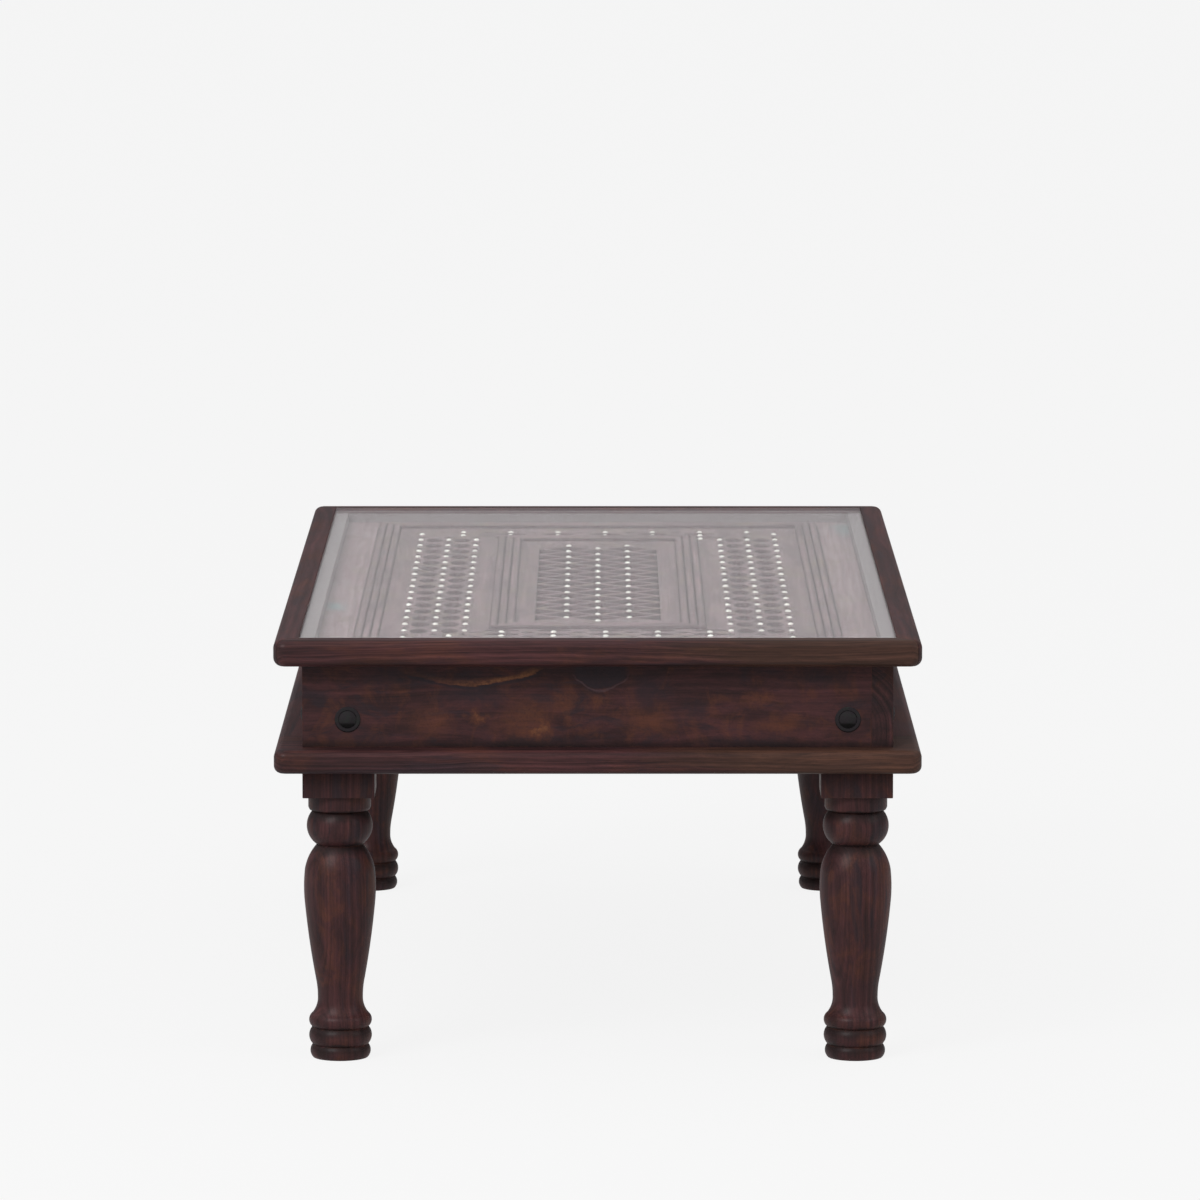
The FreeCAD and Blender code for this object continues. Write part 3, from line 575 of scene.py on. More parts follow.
def bowl_height(wires, place, bowl):
    """How high a point lies over a bowl's line, and a mask of the bowl's width."""
    middle, low, half_width, rise = [size * MM for size in bowl]
    wander = wires.noise(wires.stretched(place, (45, 1, 150)), 1.0, 4.0, 0.62)
    axes = axes_of(wires, place)
    across = wires.maths("DIVIDE", wires.minus(axes["X"], middle), half_width)
    line = wires.maths("MULTIPLY_ADD", wires.times(across, across), rise, low)
    height = wires.sway(wires.minus(axes["Z"], line), wander, BOWL_WANDER * MM)
    return height, wires.ease(wires.maths("ABSOLUTE", across), 1.08, 0.8)


def apron_figure(wires, place, tint):
    """The figure round a knot: orange and dark patches under a golden and a dark bowl. The dark
    patches along the foot are painted shade.
    """
    finishes = bpy.context.scene.table_finishes
    # Dark figure, and painted shade along the foot of the board.
    tint = wires.mix(patch_mask(wires, place, DARK_FIGURE_AND_FOOT_SHADE), tint, finishes.wood_black)
    warm = patch_mask(wires, place, WARM_PATCHES)
    golden = wires.mix(wires.ease(warm, 0.55, 1.2), finishes.wood_warm, finishes.sapwood)
    speckle = wires.ease(wires.noise(place, 420.0, 3.0, 0.6), 0.3, 0.6, 0.55)
    tint = wires.mix(wires.times(warm, speckle), tint, golden)

    height, inside = bowl_height(wires, place, GOLD_BOWL)
    rightward = wires.fade(axes_of(wires, place)["X"], GOLD_START, bottom=0.12, top=0.95)
    broken = wires.ease(wires.noise(wires.stretched(place, (60, 1, 220)), 1.0, 4.0, 0.65),
                        0.28, 0.6, 0.35)
    shadow = wires.times(wires.band(height, GOLD_SHADOW), inside, 0.7)
    tint = wires.mix(shadow, tint, finishes.wood_black)
    gold = wires.times(wires.band(height, GOLD_BAND), inside, rightward, broken, speckle)
    tint = wires.mix(gold, tint, finishes.sapwood)

    height, inside = bowl_height(wires, place, DARK_BOWL)
    filled = wires.times(wires.fade(height, DARK_EDGE), inside, 0.75)
    tint = wires.mix(filled, tint, finishes.wood_black)
    rim = wires.times(wires.band(height, DARK_RIM), inside, 0.35)
    return wires.mix(rim, tint, finishes.panel_dark)


def warm_right_end(wires, place, tint):
    """The browner stretch at the right of a front board."""
    brown = bpy.context.scene.table_finishes.wood_brown
    streaks = wires.noise(wires.stretched(place, (3, 1, 70)), 1.0, 4.0, 0.62)
    start = wires.sway(axes_of(wires, place)["X"], streaks, BROWN_WANDER * MM)
    browned = wires.mix(0.7, wires.mix(0.15, tint, brown), brown, "COLOR")
    return wires.mix(wires.fade(start, BROWN_START), tint, browned)


def outside(wires, place, node):
    """How far a point lies outside a node's box, seen from above."""
    axes = axes_of(wires, place)
    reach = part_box(node)[1]
    return wires.most(wires.minus(wires.maths("ABSOLUTE", axes["X"]), reach.x),
                      wires.minus(wires.maths("ABSOLUTE", axes["Y"]), reach.y))


def pale_ledge(wires, place, tint):
    """The dull ledge of the top frame under the edge of the glass, and the wall below it."""
    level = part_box("glass_pane")[0].z
    height = wires.minus(axes_of(wires, place)["Z"], level)
    flat = wires.ease(facing(wires, place)["Z"], 0.5, 0.8)
    ledge = wires.times(flat, wires.fade(wires.maths("ABSOLUTE", height), LEDGE_EDGE))
    wall = wires.times(wires.fade(height, LEDGE_EDGE),
                       wires.fade(outside(wires, place, "border_back"), LEDGE_EDGE))
    return wires.mix(wires.most(ledge, wall), tint, bpy.context.scene.table_finishes.ledge)


def leg_crease_shade(wires, place, tint):
    """Painted shade in the creases of the turning, most of it on the slopes below them."""
    low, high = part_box("leg_front_left")
    turned_length = LEG_BLOCK_FOOT_SHARE * (high.z - low.z)
    uneven = wires.noise(wires.stretched(place, (60, 60, 20)), 1.0, 3.0, 0.6)
    level = wires.sway(axes_of(wires, place)["Z"], uneven, CREASE_WANDER * MM)
    shade_mask = 0.0
    # Painted shade: a dark band below each crease.
    for crease_share in LEG_CREASE_SHARES:
        crease = wires.band(level, CREASE_SHADE, crease_share * turned_length)
        shade_mask = wires.most(shade_mask, crease)
    return wires.mix(wires.times(shade_mask, 0.75), tint, bpy.context.scene.table_finishes.painted_shade)


def dark_foot(wires, place, tint):
    """Painted shade along the foot of an apron board, where it meets the rim, and along its top."""
    low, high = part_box("apron_front")
    level = axes_of(wires, place)["Z"]
    uneven = wires.ease(wires.noise(wires.stretched(place, (14, 14, 60)), 1.0, 3.0), 0.3, 0.65,
                        0.35, 1.0)
    foot = wires.fade(level, FOOT_SHADE, low.z)
    head = wires.fade(level, HEAD_SHADE, high.z, top=0.5)
    shade_mask = wires.times(wires.most(foot, head), uneven, 0.8)
    return wires.mix(shade_mask, tint, bpy.context.scene.table_finishes.painted_shade)


def dark_grooves(wires, place, tint):
    """Painted shade, red-brown, in the grooves between reeds."""
    scene = bpy.context.scene
    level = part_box("jali_panel")[1].z + scene.table_sizes.reed_groove
    groove = wires.fade(axes_of(wires, place)["Z"], GROOVE_SHADE, level, top=0.95)
    return wires.mix(groove, tint, scene.table_finishes.groove)


def border_joints(wires, place, tint):
    """Grime along the outer moulding, which stands on the border, and old paint in two places."""
    finishes = bpy.context.scene.table_finishes
    joint = wires.fade(outside(wires, place, "outer_moulding_back"), JOINT_GRIME, top=0.9)
    tint = wires.mix(joint, tint, finishes.groove)
    return wires.mix(patch_mask(wires, place, PAINT_PATCHES, "Y"), tint, finishes.old_paint)


def hole_walls_and_shade(wires, place, tint):
    """Bare wood on the walls of the pierced holes, with painted shade deeper down them, and darker
    eased lips.
    """
    finishes = bpy.context.scene.table_finishes
    upward = facing(wires, place)["Z"]
    wall = wires.ease(wires.maths("ABSOLUTE", upward), 0.35, 0.12)
    depth = wires.minus(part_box("jali_panel")[1].z, axes_of(wires, place)["Z"])
    # Painted shade: the walls darken deeper in the hole.
    shade = wires.fade(depth, HOLE_SHADE, bottom=0.1, top=0.95)
    tint = wires.mix(wall, tint, wires.mix(shade, finishes.hole_wall, finishes.groove))
    # The eased lips of the holes are made darker.
    edge = wires.times(wires.ease(upward, 0.15, 0.4), wires.ease(upward, 0.985, 0.93), 0.9)
    return wires.mix(edge, tint, finishes.groove)


def panel_wood(name, node, grain, index, tooled=False, touches=()):
    """Paler, duller hardwood of the panel and its frames, with old paint in the hollows."""
    finishes = bpy.context.scene.table_finishes
    material, wires, place, surface = new_material(name)
    ground = (finishes.panel_mid, finishes.tooled_mid) if tooled else (
        finishes.panel_dark, finishes.panel_mid)
    _, wood = grained(wires, place, node, grain, index,
                      (*ground, finishes.panel_warm, finishes.wood_dark),
                      {"Warmth": 0.7, "Ribbons": 0.2, "Fibre": 0.35, "Curl": 2.0})
    flakes = wires.ease(wires.noise(place, 26.0, 5.0, 0.7), 0.6, 0.72)
    tint = wires.mix(wires.times(flakes, 0.35), wood["Colour"], finishes.old_paint)
    for touch in touches:
        tint = touch(wires, place, tint)
    height = wood["Height"]
    if tooled:
        dents = wires.group("Tooled surface", {"Vector": place, "Pitch": finishes.punch_pitch})
        tint = wires.mix(wires.times(dents["Hollows"], 0.4), tint, finishes.panel_dark)
        height = wires.plus(wires.times(dents["Height"], 2.0), height)
    principled(wires, surface, {
        "Base Color": tint,
        "Roughness": wires.plus(wood["Gloss"], 0.5),
        "Normal": bump(wires, height, finishes.grain_depth, 0.6),
        "Specular IOR Level": 0.2,
    })
    return material


def timber(name, node, grain, index, stained=False):
    """Sawn timber or stained plywood inside the table, with saw marks across the grain."""
    finishes = bpy.context.scene.table_finishes
    material, wires, place, surface = new_material(name)
    colours = (finishes.timber_dark, finishes.timber_mid, finishes.timber_mid, finishes.panel_dark)
    if stained:
        colours = (finishes.wood_dark, finishes.backing, finishes.panel_dark, finishes.wood_black)
    long_way, wood = grained(wires, place, node, grain, index, colours, {
        "Warmth": 0.4, "Ribbons": 0.15, "Fibre": 0.5})
    saw = wires.node("ShaderNodeTexWave", {
        "Vector": long_way, "Scale": 95.0, "Distortion": 2.5, "Detail": 2.0}).outputs["Fac"]
    height = wires.plus(wood["Height"], wires.times(saw, 0.5))
    principled(wires, surface, {
        "Base Color": wood["Colour"],
        "Roughness": wires.plus(wood["Gloss"], 0.6),
        "Normal": bump(wires, height, finishes.grain_depth, 0.5),
    })
    return material


def metal(name, tone, bloom, amount, metallic, roughness, grain, depth, specular=0.5, underside_shade=0.0):
    """A metal with pitting and bloom of its own, and painted shade where it faces down."""
    material, wires, place, surface = new_material(name)
    skin = wires.group("Metal bloom", {"Vector": place, "Metal": tone, "Bloom": bloom,
                                       "Amount": amount, "Grain": grain})
    # Painted shade where the surface faces down, such as under a stud's knob.
    under = wires.ease(facing(wires, place)["Z"], -0.12, -0.26, 0.0, underside_shade)
    principled(wires, surface, {
        "Base Color": wires.mix(under, skin["Colour"], bpy.context.scene.table_finishes.underside_shade),
        "Specular IOR Level": specular,
        "Metallic": metallic,
        "Roughness": wires.plus(wires.times(skin["Bloom"], 0.4), roughness),
        "Normal": bump(wires, skin["Height"], depth, 0.5),
    })
    return material


def glass_material():
    """Clear float glass that hardly bends what is seen through it, with a coat that mirrors.
    Rays from lamps pass straight through it."""
    tone = bpy.context.scene.table_finishes.glass
    material, wires, _, surface = new_material("float_glass")
    clear = wires.first("ShaderNodeBsdfPrincipled", {
        "Base Color": tone, "IOR": 1.01, "Transmission Weight": 1.0, "Roughness": 0.0,
        "Coat Weight": 0.6, "Coat IOR": 1.45, "Coat Roughness": 0.0})
    lit = wires.first("ShaderNodeBsdfTransparent", {"Color": tone})
    shadow = wires.node("ShaderNodeLightPath").outputs["Is Shadow Ray"]
    wires.feed(surface, wires.first("ShaderNodeMixShader", {0: shadow, 1: clear, 2: lit}))
    return material


def welded(node):
    """A copy of a node's loose triangles, joined into a surface."""
    shape = bmesh.new()
    shape.from_mesh(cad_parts[node].data)
    bmesh.ops.remove_doubles(shape, verts=shape.verts, dist=WELD)
    return shape


def solids_of(node):
    """The lowest and highest corner of each separate solid in a node, in a steady order."""
    shape = welded(node)
    left = set(shape.verts)
    boxes = []
    while left:
        reached = [left.pop()]
        for vert in reached:
            for edge in vert.link_edges:
                other = edge.other_vert(vert)
                if other in left:
                    left.discard(other)
                    reached.append(other)
        spots = [tuple(vert.co) for vert in reached]
        boxes.append((tuple(map(min, zip(*spots))), tuple(map(max, zip(*spots)))))
    shape.free()
    return [(Vector(low), Vector(high)) for low, high in sorted(boxes)]


def new_object(name, data):
    """A new object in the scene that holds the data."""
    thing = bpy.data.objects.new(name, data)
    bpy.context.scene.collection.objects.link(thing)
    return thing


def object_from(shape, name):
    """A new object that takes over a bmesh."""
    mesh = bpy.data.meshes.new(name)
    shape.to_mesh(mesh)
    shape.free()
    return new_object(name, mesh)


def smooth(thing, angle=SMOOTH_ANGLE):
    """Shades a mesh smooth, but for edges that turn by more than an angle in degrees."""
    mesh = thing.data
    mesh.polygons.foreach_set("use_smooth", [True] * len(mesh.polygons))
    mesh.set_sharp_from_angle(angle=math.radians(angle))
    return thing


def apply_modifiers(thing):
    """Turns a piece into the plain mesh that its modifiers make."""
    graph = bpy.context.evaluated_depsgraph_get()
    mesh = bpy.data.meshes.new_from_object(thing.evaluated_get(graph), depsgraph=graph)
    thing.modifiers.clear()
    thing.data = mesh
    mesh.name = thing.name
    return thing


def ease_edges(thing, width):
    """Rounds a piece's sharp edges and keeps its flat faces flat to the eye."""
    bevel = thing.modifiers.new("eased", "BEVEL")
    bevel.width = width
    bevel.segments = 2
    bevel.limit_method = "ANGLE"
    bevel.angle_limit = math.radians(SMOOTH_ANGLE)
    weigh = thing.modifiers.new("weighed", "WEIGHTED_NORMAL")
    weigh.weight = 100
    return apply_modifiers(thing)


def eased_copy(node, name, width):
    """A node's shape as a surface with whole faces and eased edges."""
    shape = welded(node)
    bmesh.ops.dissolve_limit(shape, angle_limit=math.radians(FLAT_ANGLE), verts=shape.verts,
                             edges=shape.edges, use_dissolve_boundaries=False)
    for face in shape.faces:
        face.smooth = True
    thing = object_from(shape, name)
    if "custom_normal" in thing.data.attributes:
        thing.data.attributes.remove(thing.data.attributes["custom_normal"])
    return ease_edges(thing, width)


def settle(piece, material, nodes=(), body="table"):
    """Gives a finished piece its material, the nodes it stands for and its body."""
    piece.data.materials.clear()
    piece.data.materials.append(material)
    if nodes:
        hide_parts(*nodes)
    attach(piece, body)


def arc_points(start, through, end, steps):
    """Points on the arc from start, which is left out, through a point to the end."""
    (ax, ay), (bx, by), (cx, cy) = start, through, end
    twist = 2 * (ax * (by - cy) + bx * (cy - ay) + cx * (ay - by))
    squares = [x * x + y * y for x, y in (start, through, end)]
    ox = (squares[0] * (by - cy) + squares[1] * (cy - ay) + squares[2] * (ay - by)) / twist
    oy = (squares[0] * (cx - bx) + squares[1] * (ax - cx) + squares[2] * (bx - ax)) / twist
    radius = math.hypot(ax - ox, ay - oy)
    first = math.atan2(ay - oy, ax - ox)
    sweep = (math.atan2(cy - oy, cx - ox) - first) % math.tau
    if (math.atan2(by - oy, bx - ox) - first) % math.tau > sweep:
        sweep -= math.tau
    return [(ox + radius * math.cos(first + sweep * step / steps),
             oy + radius * math.sin(first + sweep * step / steps)) for step in range(1, steps + 1)]


def outline(shares, width, height, steps, closed=True):
    """The points of an outline given in shares of a width and a height."""
    def spot(pair):
        return pair[0] * width, pair[1] * height

    points = []
    start = spot(shares[-1][-2:]) if closed else None
    for entry in shares:
        end = spot(entry[-2:])
        if len(entry) == 4:
            points += arc_points(start, spot(entry[:2]), end, steps)
        else:
            points.append(end)
        start = end
    return points


def turned(profile, sides):
    """A closed turned shape about Z, from a profile of (radius, height) from foot to top."""
    shape = bmesh.new()
    angles = [math.tau * side / sides for side in range(sides)]
    rings = []
    for radius, height in profile:
        if radius < WELD:
            rings.append([shape.verts.new((0, 0, height))] * sides)
        else:
            rings.append([shape.verts.new((radius * math.cos(angle), radius * math.sin(angle),
                                           height)) for angle in angles])
    for lower, upper in zip(rings, rings[1:]):
        for side in range(sides):
            after = (side + 1) % sides
            corners = dict.fromkeys([lower[side], lower[after], upper[after], upper[side]])
            if len(corners) > 2:
                shape.faces.new(list(corners))
    for ring, flip in ((rings[0], True), (rings[-1], False)):
        if ring[0] is not ring[1]:
            shape.faces.new(ring[::-1] if flip else ring)
    return shape


def realized(wires, instances, material):
    """Instances made real geometry, in a material."""
    real = wires.first("GeometryNodeRealizeInstances", {0: instances})
    return wires.first("GeometryNodeSetMaterial", {"Geometry": real, "Material": material})


def placing_tree():
    """Stands copies of one shape on a mesh's points, each facing its own way."""
    wires, inlet, outlet = new_group("Stood on spots", "GeometryNodeTree", {
        "Spots": "Geometry", "Shape": "Object", "Tilt": 0.0, "Spread": 0.0, "Seed": "Int",
        "Material": "Material"}, {"Copies": "Geometry"})
    shape = wires.node("GeometryNodeObjectInfo", {"Object": inlet["Shape"]})
    outward = wires.first("GeometryNodeInputNamedAttribute", {"Name": "facing"},
                          data_type="FLOAT_VECTOR")
    upright = wires.first("FunctionNodeAlignRotationToVector", {"Vector": outward}, axis="Z")
    tilt = inlet["Tilt"]
    back = wires.times(tilt, -1.0)
    lean = wires.first("FunctionNodeRandomValue", {
        "Min": wires.xyz(back, back), "Max": wires.xyz(tilt, tilt, math.tau),
        "Seed": inlet["Seed"]}, data_type="FLOAT_VECTOR")
    turn = wires.first("FunctionNodeRotateRotation", {0: upright, 1: lean},
                       rotation_space="LOCAL")
    size = wires.node("FunctionNodeRandomValue", {
        2: wires.minus(1.0, inlet["Spread"]), 3: 1.0, "Seed": wires.plus(inlet["Seed"], 1.0),
    }, data_type="FLOAT").outputs[1]
    copies = wires.first("GeometryNodeInstanceOnPoints", {
        "Points": inlet["Spots"], "Instance": shape.outputs["Geometry"],
        "Rotation": turn, "Scale": size})
    wires.feed(outlet["Copies"], realized(wires, copies, inlet["Material"]))
    return wires.tree


def piercing_tree(kinds):
    """Cuts outlines, each stood on its own spots, through a flat board."""
    inputs = {"Geometry": "Geometry", "Width": 1.0, "Length": 1.0, "Bottom": 0.0,
              "Thickness": 0.01, "Material": "Material"}
    for kind in kinds:
        inputs[kind + " outline"] = "Object"
        inputs[kind + " spots"] = "Object"
    wires, inlet, outlet = new_group("Pierced board", "GeometryNodeTree", inputs,
                                     {"Board": "Geometry"})
    join = wires.node("GeometryNodeJoinGeometry")
    wires.feed(join.inputs[0], wires.first("GeometryNodeCurvePrimitiveQuadrilateral", {
        "Width": inlet["Width"], "Height": inlet["Length"]}))
    turn = wires.xyz(z=wires.first("GeometryNodeInputNamedAttribute", {"Name": "turn"},
                                   data_type="FLOAT"))
    for kind in kinds:
        hole, spots = [wires.node("GeometryNodeObjectInfo", {
            "Object": inlet[kind + part]}).outputs["Geometry"] for part in (" outline", " spots")]
        holes = wires.first("GeometryNodeInstanceOnPoints", {
            "Points": spots, "Instance": hole, "Rotation": turn})
        wires.feed(join.inputs[0], wires.first("GeometryNodeRealizeInstances", {0: holes}))
    face = wires.first("GeometryNodeFillCurve", {0: join.outputs[0]})
    raised = wires.first("GeometryNodeExtrudeMesh", {
        "Mesh": face, "Offset": wires.xyz(z=1.0), "Offset Scale": inlet["Thickness"],
        "Individual": False})
    both = wires.node("GeometryNodeJoinGeometry")
    wires.feed(both.inputs[0], raised)
    wires.feed(both.inputs[0], wires.first("GeometryNodeFlipFaces", {"Mesh": face}))
    closed = wires.first("GeometryNodeMergeByDistance", {
        "Geometry": both.outputs[0], "Distance": WELD})
    level = wires.first("GeometryNodeSetPosition", {
        "Geometry": closed, "Offset": wires.xyz(z=inlet["Bottom"])})
    wires.feed(outlet["Board"], realized(wires, level, inlet["Material"]))
    return wires.tree


def add_tree(thing, tree, values):
    """Gives a piece a node tree, its inputs set by their identifiers."""
    modifier = thing.modifiers.new(tree.name, "NODES")
    modifier.node_group = tree
    for item in tree.interface.items_tree:
        if item.item_type == "SOCKET" and item.in_out == "INPUT" and item.name in values:
            modifier[item.identifier] = values[item.name]


def spots_object(name, spots, label, values):
    """A mesh of loose points with one attribute, of numbers or of vectors."""
    mesh = bpy.data.meshes.new(name)
    mesh.from_pydata([tuple(spot) for spot in spots], [], [])
    if label == "facing":
        attribute = mesh.attributes.new(label, "FLOAT_VECTOR", "POINT")
        attribute.data.foreach_set("vector", [number for value in values for number in value])
    else:
        attribute = mesh.attributes.new(label, "FLOAT", "POINT")
        attribute.data.foreach_set("value", values)
    return new_object(name, mesh)


def drop(*things):
    """Removes helper objects and what they hold."""
    for thing in things:
        data = thing.data
        bpy.data.objects.remove(thing)
        (bpy.data.curves if isinstance(data, bpy.types.Curve) else bpy.data.meshes).remove(data)


def stand_copies(name, shape, spots, facings, material, tilt=0.0, spread=0.0, seed=0):
    """One piece of many like shapes, each stood on a spot and facing its own way."""
    thing = spots_object(name, spots, "facing", facings)
    add_tree(thing, bpy.data.node_groups["Stood on spots"], {
        "Shape": shape, "Tilt": tilt, "Spread": spread, "Seed": seed, "Material": material})
    return smooth(apply_modifiers(thing))


class LOWTABLE_OT_groups(bpy.types.Operator):
    """Builds the node groups that the pieces and materials share."""
    bl_idname = "low_table.groups"
    bl_label = "Shared groups"

    def execute(self, context):
        grain_group()
        worn_edge_group()
        tooled_group()
        metal_bloom_group()
        placing_tree()
        return {"FINISHED"}


def lay_boards(pieces):
    """Eased boards, one for each (node, name, material)."""
    ease = bpy.context.scene.table_sizes.board_ease
    for node, name, material in pieces:
        settle(eased_copy(node, name, ease), material, [node])


def lay_frame(slot, node, name, wood, first, finish, **looks):
    """Four boards, one a side, cut from stretches of timber that are numbered from first. A
    look of the finish is one value for all, or a value for each side."""
    pieces = []
    for index, side in enumerate(SIDE_TURNS):
        own = {key: value[side] if isinstance(value, dict) else value
               for key, value in looks.items()}
        pieces.append((f"{node}_{side}", f"{name}_{side}",
                       finish(f"{wood}_{side}", f"{node}_{side}", SIDE_GRAIN[side],
                              first + index, **own)))
    lay_boards(pieces)


def by_side(front, others):
    """A look with one value at the front and another at the other sides."""
    return {side: front if side == "front" else others for side in SIDE_TURNS}


class LOWTABLE_OT_lower_rim(bpy.types.Operator):
    """Makes the four rounded boards of the lower rim."""
    bl_idname = "low_table.lower_rim"
    bl_label = "Lower rim"

    def execute(self, context):
        lay_frame("dark_wood", "rim", "lower_rim", "rim_wood", 1, hardwood, warmth=0.3,
                  fibre=SIDE_FIBRE, touches=by_side((warm_right_end,), ()))
        return {"FINISHED"}


class LOWTABLE_OT_aprons(bpy.types.Operator):
    """Makes the four boards of the apron."""
    bl_idname = "low_table.aprons"
    bl_label = "Apron boards"

    def execute(self, context):
        lay_frame("dark_wood", "apron", "apron_board", "apron_wood", 6, hardwood, warmth=0.4,
                  fibre=by_side(0.35, 0.6), curl=4.0,
                  touches=by_side((apron_figure, dark_foot), (dark_foot,)))
        return {"FINISHED"}


class LOWTABLE_OT_top_frame(bpy.types.Operator):
    """Makes the four mitred rails of the top frame."""
    bl_idname = "low_table.top_frame"
    bl_label = "Top frame"

    def execute(self, context):
        lay_frame("dark_wood", "top_rail", "top_frame", "top_wood", 11, hardwood, warmth=0.3,
                  fibre=SIDE_FIBRE,
                  touches=by_side((warm_right_end, pale_ledge), (pale_ledge,)))
        return {"FINISHED"}


class LOWTABLE_OT_legs(bpy.types.Operator):
    """Turns the four legs, each with a square block at its top."""
    bl_idname = "low_table.legs"
    bl_label = "Turned legs"

    def execute(self, context):
        sizes = context.scene.table_sizes
        for index, corner in enumerate(CORNERS):
            node = "leg_" + corner
            low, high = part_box(node)
            middle = (low + high) / 2
            half = (high.x - low.x) / 2
            block_foot = LEG_BLOCK_FOOT_SHARE * (high.z - low.z)
            profile = outline(LEG_OUTLINE_SHARES, half * LEG_BELLY_SHARE, block_foot,
                              sizes.turning_steps, closed=False)
            profile.append((profile[-1][0], (block_foot + high.z) / 2))
            leg = object_from(turned(profile, sizes.turning_sides), "turned_leg_" + corner)
            block = bmesh.new()
            bmesh.ops.create_cube(block, size=1.0)
            block.transform(Matrix.Translation((0, 0, (block_foot + high.z) / 2))
                            @ Matrix.Diagonal((2 * half, 2 * half, high.z - block_foot, 1)))
            block = ease_edges(object_from(block, "block"), sizes.board_ease)
            union = leg.modifiers.new("joined", "BOOLEAN")
            union.operation = "UNION"
            union.solver = "EXACT"
            union.object = block
            smooth(apply_modifiers(leg), TURNED_ANGLE)
            drop(block)
            leg.data.transform(Matrix.Translation((middle.x, middle.y, low.z)))
            wood = hardwood("leg_wood_" + corner, node, "Z", 16 + index, warmth=0.4, fibre=0.55,
                            curl=2.0, touches=(leg_crease_shade,))
            settle(leg, wood, [node])
        return {"FINISHED"}


class LOWTABLE_OT_studs(bpy.types.Operator):
    """Makes the iron studs on the apron."""
    bl_idname = "low_table.studs"
    bl_label = "Iron studs"

    def execute(self, context):
        finishes = context.scene.table_finishes
        sizes = context.scene.table_sizes
        spots, facings = [], []
        for low, high in solids_of("apron_studs"):
            middle = (low + high) / 2
            axis, board = (0, "right") if high.x - low.x < high.y - low.y else (1, "back")
            outward = Vector((0, 0, 0))
            outward[axis] = math.copysign(1, middle[axis])
            middle[axis] = outward[axis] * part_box("apron_" + board)[1][axis]
            spots.append(middle)
            facings.append(outward)
        flange = (high.z - low.z) / 2
        head = object_from(turned(stud_profile(flange), sizes.stud_sides), "stud_head")
        # The iron is nearly black where it faces down: painted shade under the knob and flange.
        iron = metal("black_iron", finishes.iron, finishes.iron_dust, amount=0.5, metallic=0.0,
                     roughness=0.75, grain=700.0, depth=0.2 * MM, specular=0.15, underside_shade=0.95)
        studs = stand_copies("iron_studs", head, spots, facings, iron, seed=sizes.seed)
        drop(head)
        settle(studs, iron, ["apron_studs"])
        return {"FINISHED"}


def stud_profile(flange_radius):
    """A stud: a thin flange with a rounded edge, and a domed knob in a fine groove."""
    sizes = bpy.context.scene.table_sizes
    foot = flange_radius / 4
    groove = sizes.stud_flange / 2
    quarter = [math.pi / 2 * step / STUD_STEPS for step in range(STUD_STEPS + 1)]
    profile = [(0, -sizes.stud_sunk), (foot, -sizes.stud_sunk), (foot, 0)]
    profile += [(flange_radius - sizes.stud_flange * (1 - math.cos(turn)),
                 sizes.stud_flange * math.sin(turn)) for turn in quarter]
    profile += [(sizes.stud_knob + groove, sizes.stud_flange),
                (sizes.stud_knob, sizes.stud_flange - groove)]
    rise = sizes.stud_height - sizes.stud_flange
    profile += [(sizes.stud_knob * math.sin(turn), sizes.stud_flange + rise * math.cos(turn) ** 2)
                for turn in reversed(quarter[:-1])]
    return profile


class LOWTABLE_OT_border(bpy.types.Operator):
    """Makes the four tooled boards round the panel."""
    bl_idname = "low_table.border"
    bl_label = "Tooled border"

    def execute(self, context):
        lay_frame("panel_wood", "border", "tooled_border", "border_wood", 21, panel_wood,
                  tooled=True, touches=(border_joints,))
        return {"FINISHED"}


def reeded_length(name, node, side):
    """A mitred length of moulding with rounded reeds, in the place of a node."""
    sizes = bpy.context.scene.table_sizes
    low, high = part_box(node)
    reach = [max(abs(low[axis]), abs(high[axis])) for axis in (0, 1)]
    along, across = reach if SIDE_TURNS[side] % 180 == 0 else reversed(reach)
    width = min(high.x - low.x, high.y - low.y)
    height = high.z - low.z
    reed = width / sizes.reed_count
    profile = [(0, 0)]
    for index in range(sizes.reed_count):
        for step in range(sizes.reed_steps + 1):
            turn = math.pi * step / sizes.reed_steps
            profile.append((reed * (index + 0.5 - 0.5 * math.cos(turn)),
                            sizes.reed_groove + (height - sizes.reed_groove) * math.sin(turn)))
    profile.append((width, 0))
    shape = bmesh.new()
    ends = [[shape.verts.new((sign * (along - inset), inset - across, low.z + rise))
             for inset, rise in profile] for sign in (-1, 1)]
    for index in range(len(profile)):
        after = (index + 1) % len(profile)
        shape.faces.new([ends[0][index], ends[1][index], ends[1][after], ends[0][after]])
    shape.faces.new(ends[0])
    shape.faces.new(ends[1][::-1])
    bmesh.ops.remove_doubles(shape, verts=shape.verts, dist=WELD)
    bmesh.ops.recalc_face_normals(shape, faces=shape.faces)
    shape.transform(Matrix.Rotation(math.radians(SIDE_TURNS[side]), 4, "Z"))
    return smooth(object_from(shape, name))


class LOWTABLE_OT_mouldings(bpy.types.Operator):
    """Makes the outer and inner reeded mouldings, four lengths each."""
    bl_idname = "low_table.mouldings"
    bl_label = "Reeded mouldings"

    def execute(self, context):
        for ring, first in (("outer", 26), ("inner", 31)):
            for index, side in enumerate(SIDE_TURNS):
                node = f"{ring}_moulding_{side}"
                piece = reeded_length(f"{ring}_reeds_{side}", node, side)
                wood = panel_wood(f"{ring}_reed_wood_{side}", node, SIDE_GRAIN[side],
                                  first + index, touches=(dark_grooves,))
                settle(piece, wood, [node])
        return {"FINISHED"}


def levels(values):
    """The separate values among nearly equal ones, in rising order."""
    return sorted({round(value, 5) for value in values})


def nail_spots(group):
    """The foot of each nail of a strip."""
    return [Vector(((low.x + high.x) / 2, (low.y + high.y) / 2, low.z))
            for low, high in solids_of("nails_" + group)]


